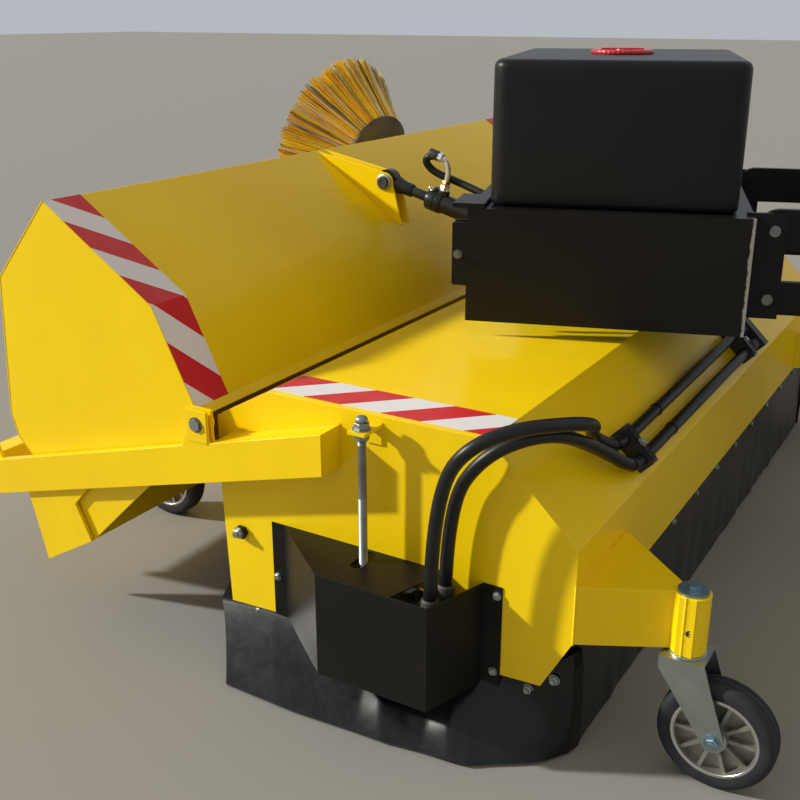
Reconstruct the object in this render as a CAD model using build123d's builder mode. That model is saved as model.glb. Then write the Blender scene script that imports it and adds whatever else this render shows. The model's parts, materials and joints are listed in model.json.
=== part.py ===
from build123d import *

import os
from math import atan2, cos, hypot, pi, radians, sin, tan

os.makedirs("parts", exist_ok=True)

# Machine datum in the row frame: over the roller's axis, on the machine's middle, on the ground
datum_x = -394.0
datum_y = 133.0

# Clearances
run_fit = 0.06
seat_gap = 0.3
side_gap = 5.0

# Hood: a folded sheet between two end plates
hood_half = 1215.0
hood_wall = 5.0
end_wall = 6.0
hood_back_x = -470.0
hood_back_low = 296.0
hood_back_high = 519.0
hood_top_rear = -264.0
hood_top_front = 305.0
hood_top_z = 719.0
hood_lip = 34.0
end_front_low = 443.0
end_toe_x = 447.0
end_toe_z = 129.0
end_heel_x = -402.0
end_heel_z = 175.0

# Hopper hinge line, along Y, and the hopper's section at rest, tipped open
hinge_x = 460.0
hinge_z = 633.0
hinge_pin_r = 10.0
hopper_half = hood_half + 46
hopper_wall = 4.0
hopper_roof_low = (487.0, 657.0)
hopper_roof_bend = (604.0, 893.0)
hopper_crest = (933.0, 1109.0)
hopper_brow = (1124.0, 898.0)
hopper_shin = (1150.0, 520.0)
hopper_heel = (1130.0, 455.0)
hopper_lip = (880.0, 205.0)
hopper_ramp = (927.0, 305.0)

# Side arms from the hood's ends to the front beam
arm_height = 100.0
arm_depth = 76.0
arm_thin = 25.0
arm_rear_x = 105.0
arm_rear_top = 680.0
arm_slope = 0.275
arm_step_x = 424.0
arm_front_x = 1342.0
arm_wall = 6.0
beam_depth = 62.0
beam_height = 100.0
beam_wall = 5.0
beam_low = 258.0
upstand_rear_x = 1190.0
upstand_height = 65.0
upstand_wall = 10.0

# Castors
castor_low = 301.0
castor_high = 436.0
castor_rear_x = -680.0
castor_rear_y = hood_half - 110
castor_front_x = 1200.0
castor_front_y = 705.0
stem_tube_r = 37.0
stem_r = 20.0
castor_trail = 80.0
wheel_r = 125.0
wheel_width = 60.0
rim_r = 93.0
axle_r = 10.0
fork_gap = 8.0
fork_wall = 5.0
rib_count = 10

# Roller brush and its carriers
roller_z = 262.0
roller_r = 258.0
roller_inset = 65.0
roller_half = hood_half - roller_inset
core_r = 90.0
wafer_count = 12
wafer_root_r = 205.0
shaft_r = 25.0
swing_x = 401.0
swing_z = 337.0
swing_wall = 12.0
swing_inset = 23.0
swing_pin_r = 12.0
housing_r = 58.0
rod_x = 15.0
rod_y = hood_half + 50
rod_r = 10.0
rod_top = 735.0

# Motor guard on the near end
guard_wall = 3.0
guard_low = 135.0
guard_high = 388.0

# Swivel head
yaw = 18.0
king_x = -182.0
head_rear = -247.0
head_front = 473.0
head_half = 450.0
head_low = 760.0
head_high = 1062.0
head_wall = 6.0
post_r = 60.0
hub_wall = 15.0

# Water tank
tank_x = 108.0
tank_y = -14.0
tank_length = 630.0
tank_width = 850.0
tank_height = 368.0
tank_wall = 6.0
lid_r = 87.0
lid_x = 10.0
lid_y = -3.0

# Parallelogram links and the coupling frame
link_pin_x = -297.0
link_length = 450.0
link_low_z = 851.0
link_high_z = 1026.0
link_y = 380.0
link_wall = 20.0
link_low_height = 86.0
link_high_height = 104.0
link_pin_r = 15.0
cheek_wall = 12.0
hitch_low_z = 560.0
hitch_rise = 610.0
hitch_half = 412.5
hitch_pin_r = 14.0
hitch_top_r = 12.75

# Hopper cylinder
ram_y = 80.0
ram_base = (-60.0, 825.0)
ram_eye = (669.0, 1027.0)
barrel_r = 30.0
barrel_length = 600.0
rod_thick_r = 16.0
ram_drift = 13.0
ear_gap = 40.0
ear_wall = 8.0

# Side brush at the far front corner, folded up
brush_hinge = (1420.0, 545.0)
brush_y = -(hood_half + 35)
brush_centre = (1547.0, 899.0)
brush_rise = 19.1
brush_toe = -8.0
brush_disc_r = 197.0
brush_disc_wall = 18.0
brush_tip_r = 365.0
brush_depth = 292.0
tuft_count = 26


def at_x(x):
    return Plane(origin=(datum_x + x, datum_y, 0), x_dir=(0, 1, 0), z_dir=(1, 0, 0))


def at_y(y):
    return Plane(origin=(datum_x, datum_y + y, 0), x_dir=(1, 0, 0), z_dir=(0, -1, 0))


def at_z(z):
    return Plane(origin=(datum_x, datum_y, z))


# Corners on the inside of a sheet that is folded along the given outer corners
def inner_corners(points, wall):
    normals = []
    for (x0, z0), (x1, z1) in zip(points, points[1:]):
        run = hypot(x1 - x0, z1 - z0)
        normals.append(((z1 - z0) / run, (x0 - x1) / run))
    first = normals[:1] + normals
    second = normals + normals[-1:]
    corners = []
    for (x, z), (ax, az), (bx, bz) in zip(points, first, second):
        reach = wall / (1 + ax * bx + az * bz)
        corners.append((x + (ax + bx) * reach, z + (az + bz) * reach))
    return corners


def sheet_outline(points, wall, first, last):
    inside = inner_corners(points, wall)
    return points[first:last + 1] + inside[first:last + 1][::-1]


def arm_top(x):
    return arm_rear_top - arm_slope * (x - arm_rear_x)


# Hood panel
hood_section = [
    (hood_back_x, hood_back_low),
    (hood_back_x, hood_back_high),
    (hood_top_rear, hood_top_z),
    (hood_top_front, hood_top_z),
    (hinge_x, hinge_z),
    (hinge_x, hinge_z - hood_lip),
]
with BuildPart() as hood_panel:
    with BuildSketch(at_y(hood_half - end_wall)):
        with BuildLine():
            Polyline(*sheet_outline(hood_section, hood_wall, 0, 5), close=True)
        make_face()
    extrude(amount=2 * (hood_half - end_wall))
hood_panel.part.label = "hood_panel"
export_step(hood_panel.part, "parts/hood_panel.step")

# Hood end plates: a slot for the roller's hub, a hole for the swing pin, a bracket for the height rod
bracket_z = hood_top_z - 24
bracket_sheet = 8.0
bracket_width = 44.0
bracket_over = 24.0
bracket_foot = 40.0
slot_travel = 60.0
slot_r = housing_r + 10
end_outline = [
    (hood_back_x, hood_back_low + end_wall),
    (hood_back_x, hood_back_high),
    (hood_top_rear, hood_top_z),
    (hood_top_front, hood_top_z),
    (hinge_x, hinge_z),
    (hinge_x, end_front_low),
    (end_toe_x, end_toe_z),
    (end_heel_x, end_heel_z),
]
for hand, sign in (("left", 1), ("right", -1)):
    with BuildPart() as end_plate:
        with BuildSketch(at_y(sign * hood_half)):
            with BuildLine():
                Polyline(*end_outline, close=True)
            make_face()
            with Locations((0, roller_z)):
                SlotCenterToCenter(slot_travel, 2 * slot_r, rotation=90, mode=Mode.SUBTRACT)
            with Locations((swing_x, swing_z)):
                Circle(swing_pin_r + run_fit, mode=Mode.SUBTRACT)
        extrude(amount=sign * end_wall)
        with BuildSketch(at_z(bracket_z)):
            with Locations((rod_x, sign * (hood_half + rod_y + bracket_over) / 2)):
                Rectangle(bracket_width, rod_y + bracket_over - hood_half)
            with Locations((rod_x, sign * rod_y)):
                Circle(rod_r + seat_gap, mode=Mode.SUBTRACT)
        extrude(amount=bracket_sheet)
        with BuildSketch(at_z(bracket_z - bracket_foot)):
            with Locations((rod_x, sign * (hood_half + end_wall / 2))):
                Rectangle(bracket_width, end_wall)
        extrude(amount=bracket_foot + 1)
    end_plate.part.label = f"hood_end_{hand}"
    export_step(end_plate.part, f"parts/hood_end_{hand}.step")

# Side arms: a deep channel on the hood's end, a thin bar past the hopper, hinge cheeks and gussets
cheek_r = 26.0
pin_tail = 4.0
pin_head_r = 16.0
pin_head_height = 9.0
cheek_base = 52.0
hanger = [(1105.0, 0), (1054.0, 106.0), (875.0, 208.0), (922.0, 308.0), (856.0, 0)]
arm_outer = hood_half + arm_depth
arm_inner = arm_outer - arm_thin
for hand, sign in (("left", 1), ("right", -1)):
    with BuildPart() as side_arm:
        with BuildSketch(at_y(sign * arm_outer)):
            Polygon(
                (arm_rear_x, arm_top(arm_rear_x)),
                (arm_front_x, arm_top(arm_front_x)),
                (arm_front_x, arm_top(arm_front_x) - arm_height),
                (arm_rear_x, arm_top(arm_rear_x) - arm_height),
                align=None,
            )
        extrude(amount=sign * arm_thin)
        with BuildSketch(at_y(sign * arm_outer)):
            Polygon(
                (arm_rear_x, arm_top(arm_rear_x)),
                (arm_step_x, arm_top(arm_step_x)),
                (arm_step_x, arm_top(arm_step_x) - arm_height),
                (arm_rear_x, arm_top(arm_rear_x) - arm_height),
                align=None,
            )
        extrude(amount=sign * arm_depth)
        with BuildSketch(at_y(sign * (arm_outer - arm_wall))):
            Polygon(
                (arm_rear_x + arm_wall, arm_top(arm_rear_x + arm_wall) - arm_wall),
                (arm_step_x - arm_wall, arm_top(arm_step_x - arm_wall) - arm_wall),
                (arm_step_x - arm_wall, arm_top(arm_step_x - arm_wall) - arm_height + arm_wall),
                (arm_rear_x + arm_wall, arm_top(arm_rear_x + arm_wall) - arm_height + arm_wall),
                align=None,
            )
        extrude(amount=sign * arm_depth, mode=Mode.SUBTRACT)
        with BuildSketch(at_y(sign * (arm_inner + upstand_wall))):
            Polygon(
                (upstand_rear_x, arm_top(upstand_rear_x) - arm_wall),
                (upstand_rear_x + upstand_height / 2, arm_top(upstand_rear_x) + upstand_height),
                (arm_front_x, arm_top(arm_front_x) + upstand_height),
                (arm_front_x, arm_top(arm_front_x) - arm_wall),
                align=None,
            )
            Polygon(
                (hanger[0][0], arm_top(hanger[0][0]) - arm_height + arm_wall),
                hanger[1],
                hanger[2],
                hanger[3],
                (hanger[4][0], arm_top(hanger[4][0]) - arm_height + arm_wall),
                align=None,
            )
        extrude(amount=sign * upstand_wall)
        for cheek_y in (arm_outer, arm_inner + ear_wall):
            with BuildSketch(at_y(sign * cheek_y)):
                with Locations((hinge_x, hinge_z)):
                    Circle(cheek_r)
                Polygon(
                    (hinge_x - cheek_r, hinge_z),
                    (hinge_x + cheek_r, hinge_z),
                    (hinge_x + cheek_base, arm_top(hinge_x + cheek_base) - arm_wall),
                    (arm_step_x + 1, arm_top(arm_step_x + 1) - arm_wall),
                    align=None,
                )
                with Locations((hinge_x, hinge_z)):
                    Circle(hinge_pin_r + run_fit, mode=Mode.SUBTRACT)
            extrude(amount=sign * ear_wall)
    side_arm.part.label = f"side_arm_{hand}"
    export_step(side_arm.part, f"parts/side_arm_{hand}.step")

    hinge_plane = Plane(
        origin=(datum_x + hinge_x, datum_y + sign * arm_outer, hinge_z), z_dir=(0, sign, 0)
    )
    with BuildPart() as hinge_pin:
        with BuildSketch(hinge_plane):
            Circle(hinge_pin_r)
        extrude(amount=-(arm_outer - hopper_half + end_wall + pin_tail))
        with BuildSketch(hinge_plane.offset(seat_gap)):
            RegularPolygon(pin_head_r, 6)
        extrude(amount=pin_head_height)
        with BuildSketch(hinge_plane):
            Circle(hinge_pin_r)
        extrude(amount=pin_head_height / 2)
    hinge_pin.part.label = f"hinge_pin_{hand}"
    export_step(hinge_pin.part, f"parts/hinge_pin_{hand}.step")

# Front beam between the side arms
beam_mid_x = arm_front_x - beam_depth / 2
beam_mid_z = beam_low + beam_height / 2
with BuildPart() as front_beam:
    with BuildSketch(at_y(arm_inner)):
        with Locations((beam_mid_x, beam_mid_z)):
            Rectangle(beam_depth, beam_height)
            Rectangle(beam_depth - 2 * beam_wall, beam_height - 2 * beam_wall, mode=Mode.SUBTRACT)
    extrude(amount=2 * arm_inner)
front_beam.part.label = "front_beam"
export_step(front_beam.part, "parts/front_beam.step")

# Castor brackets: a stem tube, joined by a box to the hood's back or to the front beam
# columns: name, stem x, stem y, seat x, seat y from, seat y to, box top
rear_seat = castor_rear_y + 110, castor_rear_y - 192
front_seat = castor_front_y + 110, castor_front_y - 110
castors = [
    ("rear_left", castor_rear_x, castor_rear_y, hood_back_x, *rear_seat, castor_high),
    ("rear_right", castor_rear_x, -castor_rear_y, hood_back_x, -rear_seat[0], -rear_seat[1], castor_high),
    ("front_left", castor_front_x, castor_front_y, arm_front_x - beam_depth, *front_seat, beam_low + beam_height),
    ("front_right", castor_front_x, -castor_front_y, arm_front_x - beam_depth, -front_seat[0], -front_seat[1],
     beam_low + beam_height),
]
bracket_wall = 6.0
cap_r = 32.0
cap_height = 6.0
cap_bolt_r = 13.0
cap_bolt_height = 10.0
crown_over = 10.0
axle_over = 8.0
hub_r = 28.0
rim_half = wheel_width / 2 - 2
rim_wall = 9.0
rim_web = 10.0
rib_wall = 8.0
rib_inset = 6.0
rib_start = hub_r - 2
rib_end = rim_r - rim_wall / 3
for name, stem_x, stem_y, seat_x, seat_a, seat_b, box_top in castors:
    toward = 1 if seat_x > stem_x else -1
    with BuildPart() as bracket:
        with BuildSketch(at_z(castor_low)):
            with Locations((stem_x, stem_y)):
                Circle(stem_tube_r)
        extrude(amount=castor_high - castor_low)
        with BuildSketch(at_z(castor_low)):
            Polygon((seat_x, seat_a), (seat_x, seat_b), (stem_x, stem_y), align=None)
            with Locations((stem_x, stem_y)):
                Rectangle(stem_tube_r, 2 * stem_tube_r)
        extrude(amount=box_top - castor_low)
        with BuildSketch(at_z(castor_low)):
            Polygon(
                (seat_x - toward * bracket_wall, seat_a + 0.10 * (seat_b - seat_a)),
                (seat_x - toward * bracket_wall, seat_b - 0.10 * (seat_b - seat_a)),
                (stem_x + toward * stem_tube_r * 0.7, stem_y),
                align=None,
            )
            with Locations((stem_x, stem_y)):
                Circle(stem_tube_r, mode=Mode.SUBTRACT)
        extrude(amount=box_top - castor_low - bracket_wall, mode=Mode.SUBTRACT)
        with BuildSketch(at_z(castor_low)):
            with Locations((stem_x, stem_y)):
                Circle(stem_r + run_fit)
        extrude(amount=castor_high - castor_low, mode=Mode.SUBTRACT)
    bracket.part.label = f"castor_bracket_{name}"
    export_step(bracket.part, f"parts/castor_bracket_{name}.step")

    wheel_x = stem_x - castor_trail
    plate_y = wheel_width / 2 + fork_gap + fork_wall
    crown_z = castor_low - seat_gap
    with BuildPart() as fork:
        with BuildSketch(at_z(crown_z)):
            with Locations((stem_x, stem_y)):
                Rectangle(2 * (stem_tube_r + crown_over), 2 * plate_y)
        extrude(amount=-fork_wall * 2)
        with BuildSketch(at_z(crown_z)):
            with Locations((stem_x, stem_y)):
                Circle(stem_r)
        extrude(amount=castor_high - castor_low + 2 * seat_gap)
        with BuildSketch(at_z(castor_high + seat_gap)):
            with Locations((stem_x, stem_y)):
                Circle(cap_r)
        extrude(amount=cap_height)
        with BuildSketch(at_z(castor_high + seat_gap + cap_height)):
            with Locations((stem_x, stem_y)):
                RegularPolygon(cap_bolt_r, 6)
        extrude(amount=cap_bolt_height)
        for plate_side in (1, -1):
            outer_y = stem_y + plate_side * plate_y
            with BuildSketch(at_y(outer_y)):
                with Locations((wheel_x, wheel_r)):
                    Circle(24)
                Polygon(
                    (stem_x + stem_tube_r + crown_over, crown_z),
                    (stem_x - stem_tube_r - crown_over, crown_z),
                    (wheel_x - 23.5, wheel_r + 5),
                    (wheel_x + 21, wheel_r - 11),
                    (stem_x + stem_tube_r + crown_over, crown_z - 34),
                    align=None,
                )
            extrude(amount=plate_side * fork_wall)
        with BuildSketch(at_y(stem_y + plate_y + axle_over)):
            with Locations((wheel_x, wheel_r)):
                Circle(axle_r)
        extrude(amount=2 * (plate_y + axle_over))
    fork.part.label = f"castor_fork_{name}"
    export_step(fork.part, f"parts/castor_fork_{name}.step")

    with BuildPart() as rim:
        with BuildSketch(at_y(stem_y + rim_half)):
            with Locations((wheel_x, wheel_r)):
                Circle(rim_r)
                Circle(rim_r - rim_wall, mode=Mode.SUBTRACT)
        extrude(amount=2 * rim_half)
        with BuildSketch(at_y(stem_y + rim_web / 2)):
            with Locations((wheel_x, wheel_r)):
                Circle(rim_r - 5)
        extrude(amount=rim_web)
        with BuildSketch(at_y(stem_y + wheel_width / 2 + 4)):
            with Locations((wheel_x, wheel_r)):
                Circle(hub_r)
        extrude(amount=wheel_width + 8)
        with BuildSketch(at_y(stem_y + rim_half - rib_inset)):
            with Locations((wheel_x, wheel_r)):
                with PolarLocations((rib_start + rib_end) / 2, rib_count):
                    Rectangle(rib_end - rib_start, rib_wall)
        extrude(amount=2 * (rim_half - rib_inset))
        with BuildSketch(at_y(stem_y + wheel_width)):
            with Locations((wheel_x, wheel_r)):
                Circle(axle_r + run_fit)
        extrude(amount=2 * wheel_width, mode=Mode.SUBTRACT)
    rim.part.label = f"castor_rim_{name}"
    export_step(rim.part, f"parts/castor_rim_{name}.step")

    crown_drop = 6.0
    tyre_low = rim_r + seat_gap
    with BuildPart() as tyre:
        with BuildSketch(at_x(wheel_x)):
            Polygon(
                (stem_y - wheel_width / 2, wheel_r + tyre_low),
                (stem_y + wheel_width / 2, wheel_r + tyre_low),
                (stem_y + wheel_width / 2, wheel_r + wheel_r - crown_drop),
                (stem_y + wheel_width / 4, wheel_r + wheel_r),
                (stem_y - wheel_width / 4, wheel_r + wheel_r),
                (stem_y - wheel_width / 2, wheel_r + wheel_r - crown_drop),
                align=None,
            )
        revolve(axis=Axis((datum_x + wheel_x, datum_y, wheel_r), (0, 1, 0)))
    tyre.part.label = f"castor_tyre_{name}"
    export_step(tyre.part, f"parts/castor_tyre_{name}.step")

# Roller brush: a steel core on two stub shafts, with wafers of bristle packed along it
swing_face = hood_half - end_wall - swing_inset
core_wall = 6.0
core_disc = 12.0
with BuildPart() as roller_core:
    with BuildSketch(at_y(roller_half)):
        with Locations((0, roller_z)):
            Circle(core_r)
            Circle(core_r - core_wall, mode=Mode.SUBTRACT)
    extrude(amount=2 * roller_half)
    for end_y in (roller_half, core_disc - roller_half):
        with BuildSketch(at_y(end_y)):
            with Locations((0, roller_z)):
                Circle(core_r)
        extrude(amount=core_disc)
    for end_y in (hood_half - end_wall, 2 * core_disc - roller_half):
        with BuildSketch(at_y(end_y)):
            with Locations((0, roller_z)):
                Circle(shaft_r)
        extrude(amount=hood_half - end_wall - roller_half + 2 * core_disc)
roller_core.part.label = "roller_core"
export_step(roller_core.part, "parts/roller_core.step")

wafer_pitch = 2 * roller_half / wafer_count
wafer_bevel = wafer_pitch * 0.16
wafer_points = [(-roller_half, roller_z + wafer_root_r)]
for wafer in range(wafer_count):
    start = -roller_half + wafer * wafer_pitch
    wafer_points += [
        (start + wafer_bevel, roller_z + roller_r),
        (start + wafer_pitch - wafer_bevel, roller_z + roller_r),
        (start + wafer_pitch, roller_z + wafer_root_r),
    ]
with BuildPart() as roller_bristles:
    with BuildSketch(at_x(0)):
        with BuildLine():
            Polyline(
                (wafer_points[0][0], roller_z + core_r + seat_gap),
                *wafer_points,
                (wafer_points[-1][0], roller_z + core_r + seat_gap),
                close=True,
            )
        make_face()
    revolve(axis=Axis((datum_x, datum_y, roller_z), (0, 1, 0)))
roller_bristles.part.label = "roller_bristles"
export_step(roller_bristles.part, "parts/roller_bristles.step")

# Swing arms that carry the roller inside the hood, their outer hubs, and the height rods
# columns: hand, sign, hub length outside the end plate
hub_table = [("left", 1, 143.0), ("right", -1, 75.0)]
lug_height = 30.0
lug_width = 36.0
lug_sink = 8.0
swing_boss_r = swing_pin_r + 20
swing_head = 12.0
rod_nut_r = 17.0
rod_nut_height = 14.0
port_top = 330.0
port_height = 80.0
port_length = 176.0
port_width = 116.0
port_mid_x = -128.0
port_mid_y = hood_half + 69
for hand, sign, hub_length in hub_table:
    with BuildPart() as carrier:
        with BuildSketch(at_y(sign * (swing_face + swing_wall))):
            with Locations((0, roller_z)):
                Circle(housing_r + 20)
            with Locations((swing_x, swing_z)):
                Circle(swing_boss_r)
            Polygon(
                (0, roller_z + housing_r),
                (swing_x, swing_z + 0.8 * swing_boss_r),
                (swing_x, swing_z - 0.8 * swing_boss_r),
                (0, roller_z - housing_r),
                align=None,
            )
            with Locations((0, roller_z)):
                Circle(shaft_r + run_fit, mode=Mode.SUBTRACT)
        extrude(amount=sign * swing_wall)
        with BuildSketch(at_y(sign * (hood_half + 8))):
            with Locations((swing_x, swing_z)):
                Circle(swing_pin_r)
        extrude(amount=sign * (hood_half + 8 - swing_face))
        with BuildSketch(at_y(sign * (hood_half + seat_gap + swing_head))):
            with Locations((swing_x, swing_z)):
                RegularPolygon(1.5 * swing_pin_r, 6)
        extrude(amount=sign * swing_head)
    carrier.part.label = f"roller_carrier_{hand}"
    export_step(carrier.part, f"parts/roller_carrier_{hand}.step")

    hub_outer = hood_half + hub_length
    hub_start = swing_face + swing_wall
    with BuildPart() as hub:
        with BuildSketch(at_y(sign * hub_outer)):
            with Locations((0, roller_z)):
                Circle(housing_r)
        extrude(amount=sign * (hub_outer - hub_start))
        with BuildSketch(at_z(roller_z + housing_r - lug_sink)):
            with Locations((rod_x, sign * rod_y)):
                Rectangle(lug_width, lug_width)
        extrude(amount=lug_height)
        with BuildSketch(at_y(sign * (hood_half - end_wall + seat_gap))):
            with Locations((0, roller_z)):
                Circle(shaft_r + run_fit)
        extrude(amount=sign * (hood_half - end_wall + seat_gap - hub_start), mode=Mode.SUBTRACT)
    if hand == "left":
        with BuildPart(mode=Mode.PRIVATE) as port_block:
            with BuildSketch(at_z(port_top)):
                with Locations((port_mid_x, port_mid_y)):
                    Rectangle(port_length, port_width)
            extrude(amount=-port_height)
        with hub:
            add(port_block.part)
    hub_name = "drive_motor" if hand == "left" else "bearing_hub"
    hub.part.label = hub_name
    export_step(hub.part, f"parts/{hub_name}.step")

    rod_low = roller_z + housing_r - lug_sink + lug_height
    with BuildPart() as height_rod:
        with BuildSketch(at_z(rod_low)):
            with Locations((rod_x, sign * rod_y)):
                Circle(rod_r)
        extrude(amount=rod_top - rod_low)
        with BuildSketch(at_z(bracket_z + bracket_sheet + seat_gap)):
            with Locations((rod_x, sign * rod_y)):
                RegularPolygon(rod_nut_r, 6)
        extrude(amount=rod_nut_height)
        with BuildSketch(at_z(bracket_z - seat_gap)):
            with Locations((rod_x, sign * rod_y)):
                RegularPolygon(rod_nut_r, 6)
        extrude(amount=-rod_nut_height)
    height_rod.part.label = f"height_rod_{hand}"
    export_step(height_rod.part, f"parts/height_rod_{hand}.step")

# Motor guard: a folded sheet on the near end, with a top plate slotted for the rod
guard_front = 308.0
guard_flange = 38.0
guard_reach = 160.0
guard_face_front = 71.0
guard_face_rear = -210.0
guard_heel = -262.0
guard_rear = -307.0
hose_cut = 92.0
guard_plan = [
    (guard_front, hood_half + guard_wall),
    (guard_front - guard_flange, hood_half + guard_wall),
    (guard_face_front, hood_half + guard_reach),
    (guard_face_rear, hood_half + guard_reach),
    (guard_heel, hood_half + guard_wall),
    (guard_rear, hood_half + guard_wall),
]
guard_inner = inner_corners(guard_plan, -guard_wall)
with BuildPart() as motor_guard:
    with BuildSketch(at_z(guard_low)):
        with BuildLine():
            Polyline(*guard_plan, *guard_inner[::-1], close=True)
        make_face()
    extrude(amount=guard_high - guard_low)
    with BuildSketch(at_z(guard_high)):
        Polygon(
            (guard_front - guard_flange, hood_half),
            (guard_face_front, hood_half + guard_reach - 1),
            (guard_face_rear + hose_cut, hood_half + guard_reach - 1),
            (guard_heel + hose_cut, hood_half),
            align=None,
        )
        with Locations((rod_x, rod_y)):
            SlotCenterToCenter(50, 3 * rod_r, rotation=90, mode=Mode.SUBTRACT)
    extrude(amount=-guard_wall)
motor_guard.part.label = "motor_guard"
export_step(motor_guard.part, "parts/motor_guard.step")

# Rubber skirts: a straight one inside the hood's back and a splayed one under each end
skirt_wall = 8.0
skirt_low = 5.0
skirt_high = 345.0
with BuildPart() as rear_skirt:
    with BuildSketch(at_z(skirt_low)):
        with Locations((hood_back_x + hood_wall + skirt_wall / 2, 0)):
            Rectangle(skirt_wall, 2 * (hood_half - end_wall) - 2)
    extrude(amount=skirt_high - skirt_low)
rear_skirt.part.label = "rear_skirt"
export_step(rear_skirt.part, "parts/rear_skirt.step")

# columns: x on the hood's end, x on the ground, how far the foot stands out from the hood's end
skirt_line = [
    (end_toe_x - 8, 415.0, 168.0),
    (150.0, 170.0, 168.0),
    (-100.0, -91.0, 154.0),
    (-300.0, -317.0, 108.0),
    (end_heel_x + 10, -418.0, 32.0),
]
skirt_turn = end_toe_z - 6
skirt_seat = roller_z - housing_r - 8
skirt_y = hood_half - end_wall
for hand, sign in (("left", 1), ("right", -1)):
    with BuildPart() as end_skirt:
        with BuildSketch(at_y(sign * skirt_y)):
            Polygon(
                (skirt_line[0][0], skirt_turn),
                (skirt_line[0][0], skirt_seat),
                (skirt_line[-1][0], skirt_seat),
                (skirt_line[-1][0], skirt_turn),
                align=None,
            )
        extrude(amount=sign * skirt_wall)
        for (top_a, low_a, out_a), (top_b, low_b, out_b) in zip(skirt_line, skirt_line[1:]):
            with BuildSketch(at_z(skirt_turn)):
                Polygon(
                    (top_a, sign * skirt_y),
                    (top_b, sign * skirt_y),
                    (top_b, sign * (skirt_y - skirt_wall)),
                    (top_a, sign * (skirt_y - skirt_wall)),
                    align=None,
                )
            with BuildSketch(at_z(skirt_low)):
                Polygon(
                    (low_a, sign * (hood_half + out_a)),
                    (low_b, sign * (hood_half + out_b)),
                    (low_b, sign * (hood_half + out_b - skirt_wall)),
                    (low_a, sign * (hood_half + out_a - skirt_wall)),
                    align=None,
                )
            loft(ruled=True)
    end_skirt.part.label = f"end_skirt_{hand}"
    export_step(end_skirt.part, f"parts/end_skirt_{hand}.step")

# Hopper: three folded panels and two end plates
hopper_section = [
    hopper_roof_low,
    hopper_roof_bend,
    hopper_crest,
    hopper_brow,
    hopper_shin,
    hopper_heel,
    hopper_lip,
    hopper_ramp,
]
# columns: name, first corner, last corner
hopper_panels = [("hopper_roof", 0, 2), ("hopper_front", 2, 4), ("hopper_floor", 4, 7)]
for name, first, last in hopper_panels:
    with BuildPart() as panel:
        with BuildSketch(at_y(hopper_half - end_wall)):
            with BuildLine():
                Polyline(*sheet_outline(hopper_section, hopper_wall, first, last), close=True)
            make_face()
        extrude(amount=2 * (hopper_half - end_wall))
    panel.part.label = name
    export_step(panel.part, f"parts/{name}.step")

for hand, sign in (("left", 1), ("right", -1)):
    with BuildPart() as hopper_end:
        with BuildSketch(at_y(sign * hopper_half)):
            Polygon(*hopper_section[:7], align=None)
            with Locations((hinge_x, hinge_z)):
                Circle(cheek_r)
            Polygon(
                (hinge_x, hinge_z + cheek_r),
                hopper_roof_low,
                hopper_lip,
                (hinge_x, hinge_z - cheek_r),
                align=None,
            )
            with Locations((hinge_x, hinge_z)):
                Circle(hinge_pin_r + run_fit, mode=Mode.SUBTRACT)
        extrude(amount=sign * end_wall)
    hopper_end.part.label = f"hopper_end_{hand}"
    export_step(hopper_end.part, f"parts/hopper_end_{hand}.step")

# Cylinder ears on the hopper's roof, with their pin
ear_pin_r = 12.5
ear_pin_over = 4.0
ear_head = 12.0
ear_boss_r = 30.0
ear_outer = ear_gap / 2 + ear_wall
with BuildPart() as ram_ears:
    for ear_y in (ram_y + ear_outer, ram_y - ear_gap / 2):
        with BuildSketch(at_y(ear_y)):
            Polygon(hopper_roof_bend, (ram_eye[0] - ear_boss_r, ram_eye[1]),
                    (ram_eye[0], ram_eye[1] + ear_boss_r), hopper_crest, align=None)
            with Locations(ram_eye):
                Circle(ear_boss_r)
        extrude(amount=ear_wall)
    with BuildSketch(at_y(ram_y + ear_outer + ear_pin_over)):
        with Locations(ram_eye):
            Circle(ear_pin_r)
    extrude(amount=2 * (ear_outer + ear_pin_over))
    with BuildSketch(at_y(ram_y + ear_outer + ear_head)):
        with Locations(ram_eye):
            RegularPolygon(1.5 * ear_pin_r, 6)
    extrude(amount=ear_head)
ram_ears.part.label = "ram_ears"
export_step(ram_ears.part, "parts/ram_ears.step")

# Hopper cylinder: base lugs on the hood, barrel, and rod with its eye
ram_run = hypot(ram_eye[0] - ram_base[0], ram_eye[1] - ram_base[1])
ram_angle = atan2(ram_eye[1] - ram_base[1], ram_eye[0] - ram_base[0])
base_pin_r = 15.0
base_eye_half = 18.0
lug_wall = 8.0
lug_inner = base_eye_half + 1
base_pin_over = 5.0
with BuildPart() as ram_lugs:
    for lug_y in (ram_y + lug_inner + lug_wall, ram_y - lug_inner):
        with BuildSketch(at_y(lug_y)):
            with Locations(ram_base):
                Circle(barrel_r)
            Polygon(
                (ram_base[0] - barrel_r, ram_base[1]),
                (ram_base[0] - barrel_r, hood_top_z),
                (ram_base[0] + barrel_r + 12, hood_top_z),
                (ram_base[0] + barrel_r, ram_base[1]),
                align=None,
            )
        extrude(amount=lug_wall)
    with BuildSketch(at_z(hood_top_z)):
        with Locations((ram_base[0] + barrel_r / 2, ram_y)):
            Rectangle(3 * barrel_r + 10, 2 * (lug_inner + lug_wall))
    extrude(amount=lug_wall)
    with BuildSketch(at_y(ram_y + lug_inner + lug_wall + base_pin_over)):
        with Locations(ram_base):
            Circle(base_pin_r)
    extrude(amount=2 * (lug_inner + lug_wall + base_pin_over))
ram_lugs.part.label = "ram_lugs"
export_step(ram_lugs.part, "parts/ram_lugs.step")

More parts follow.
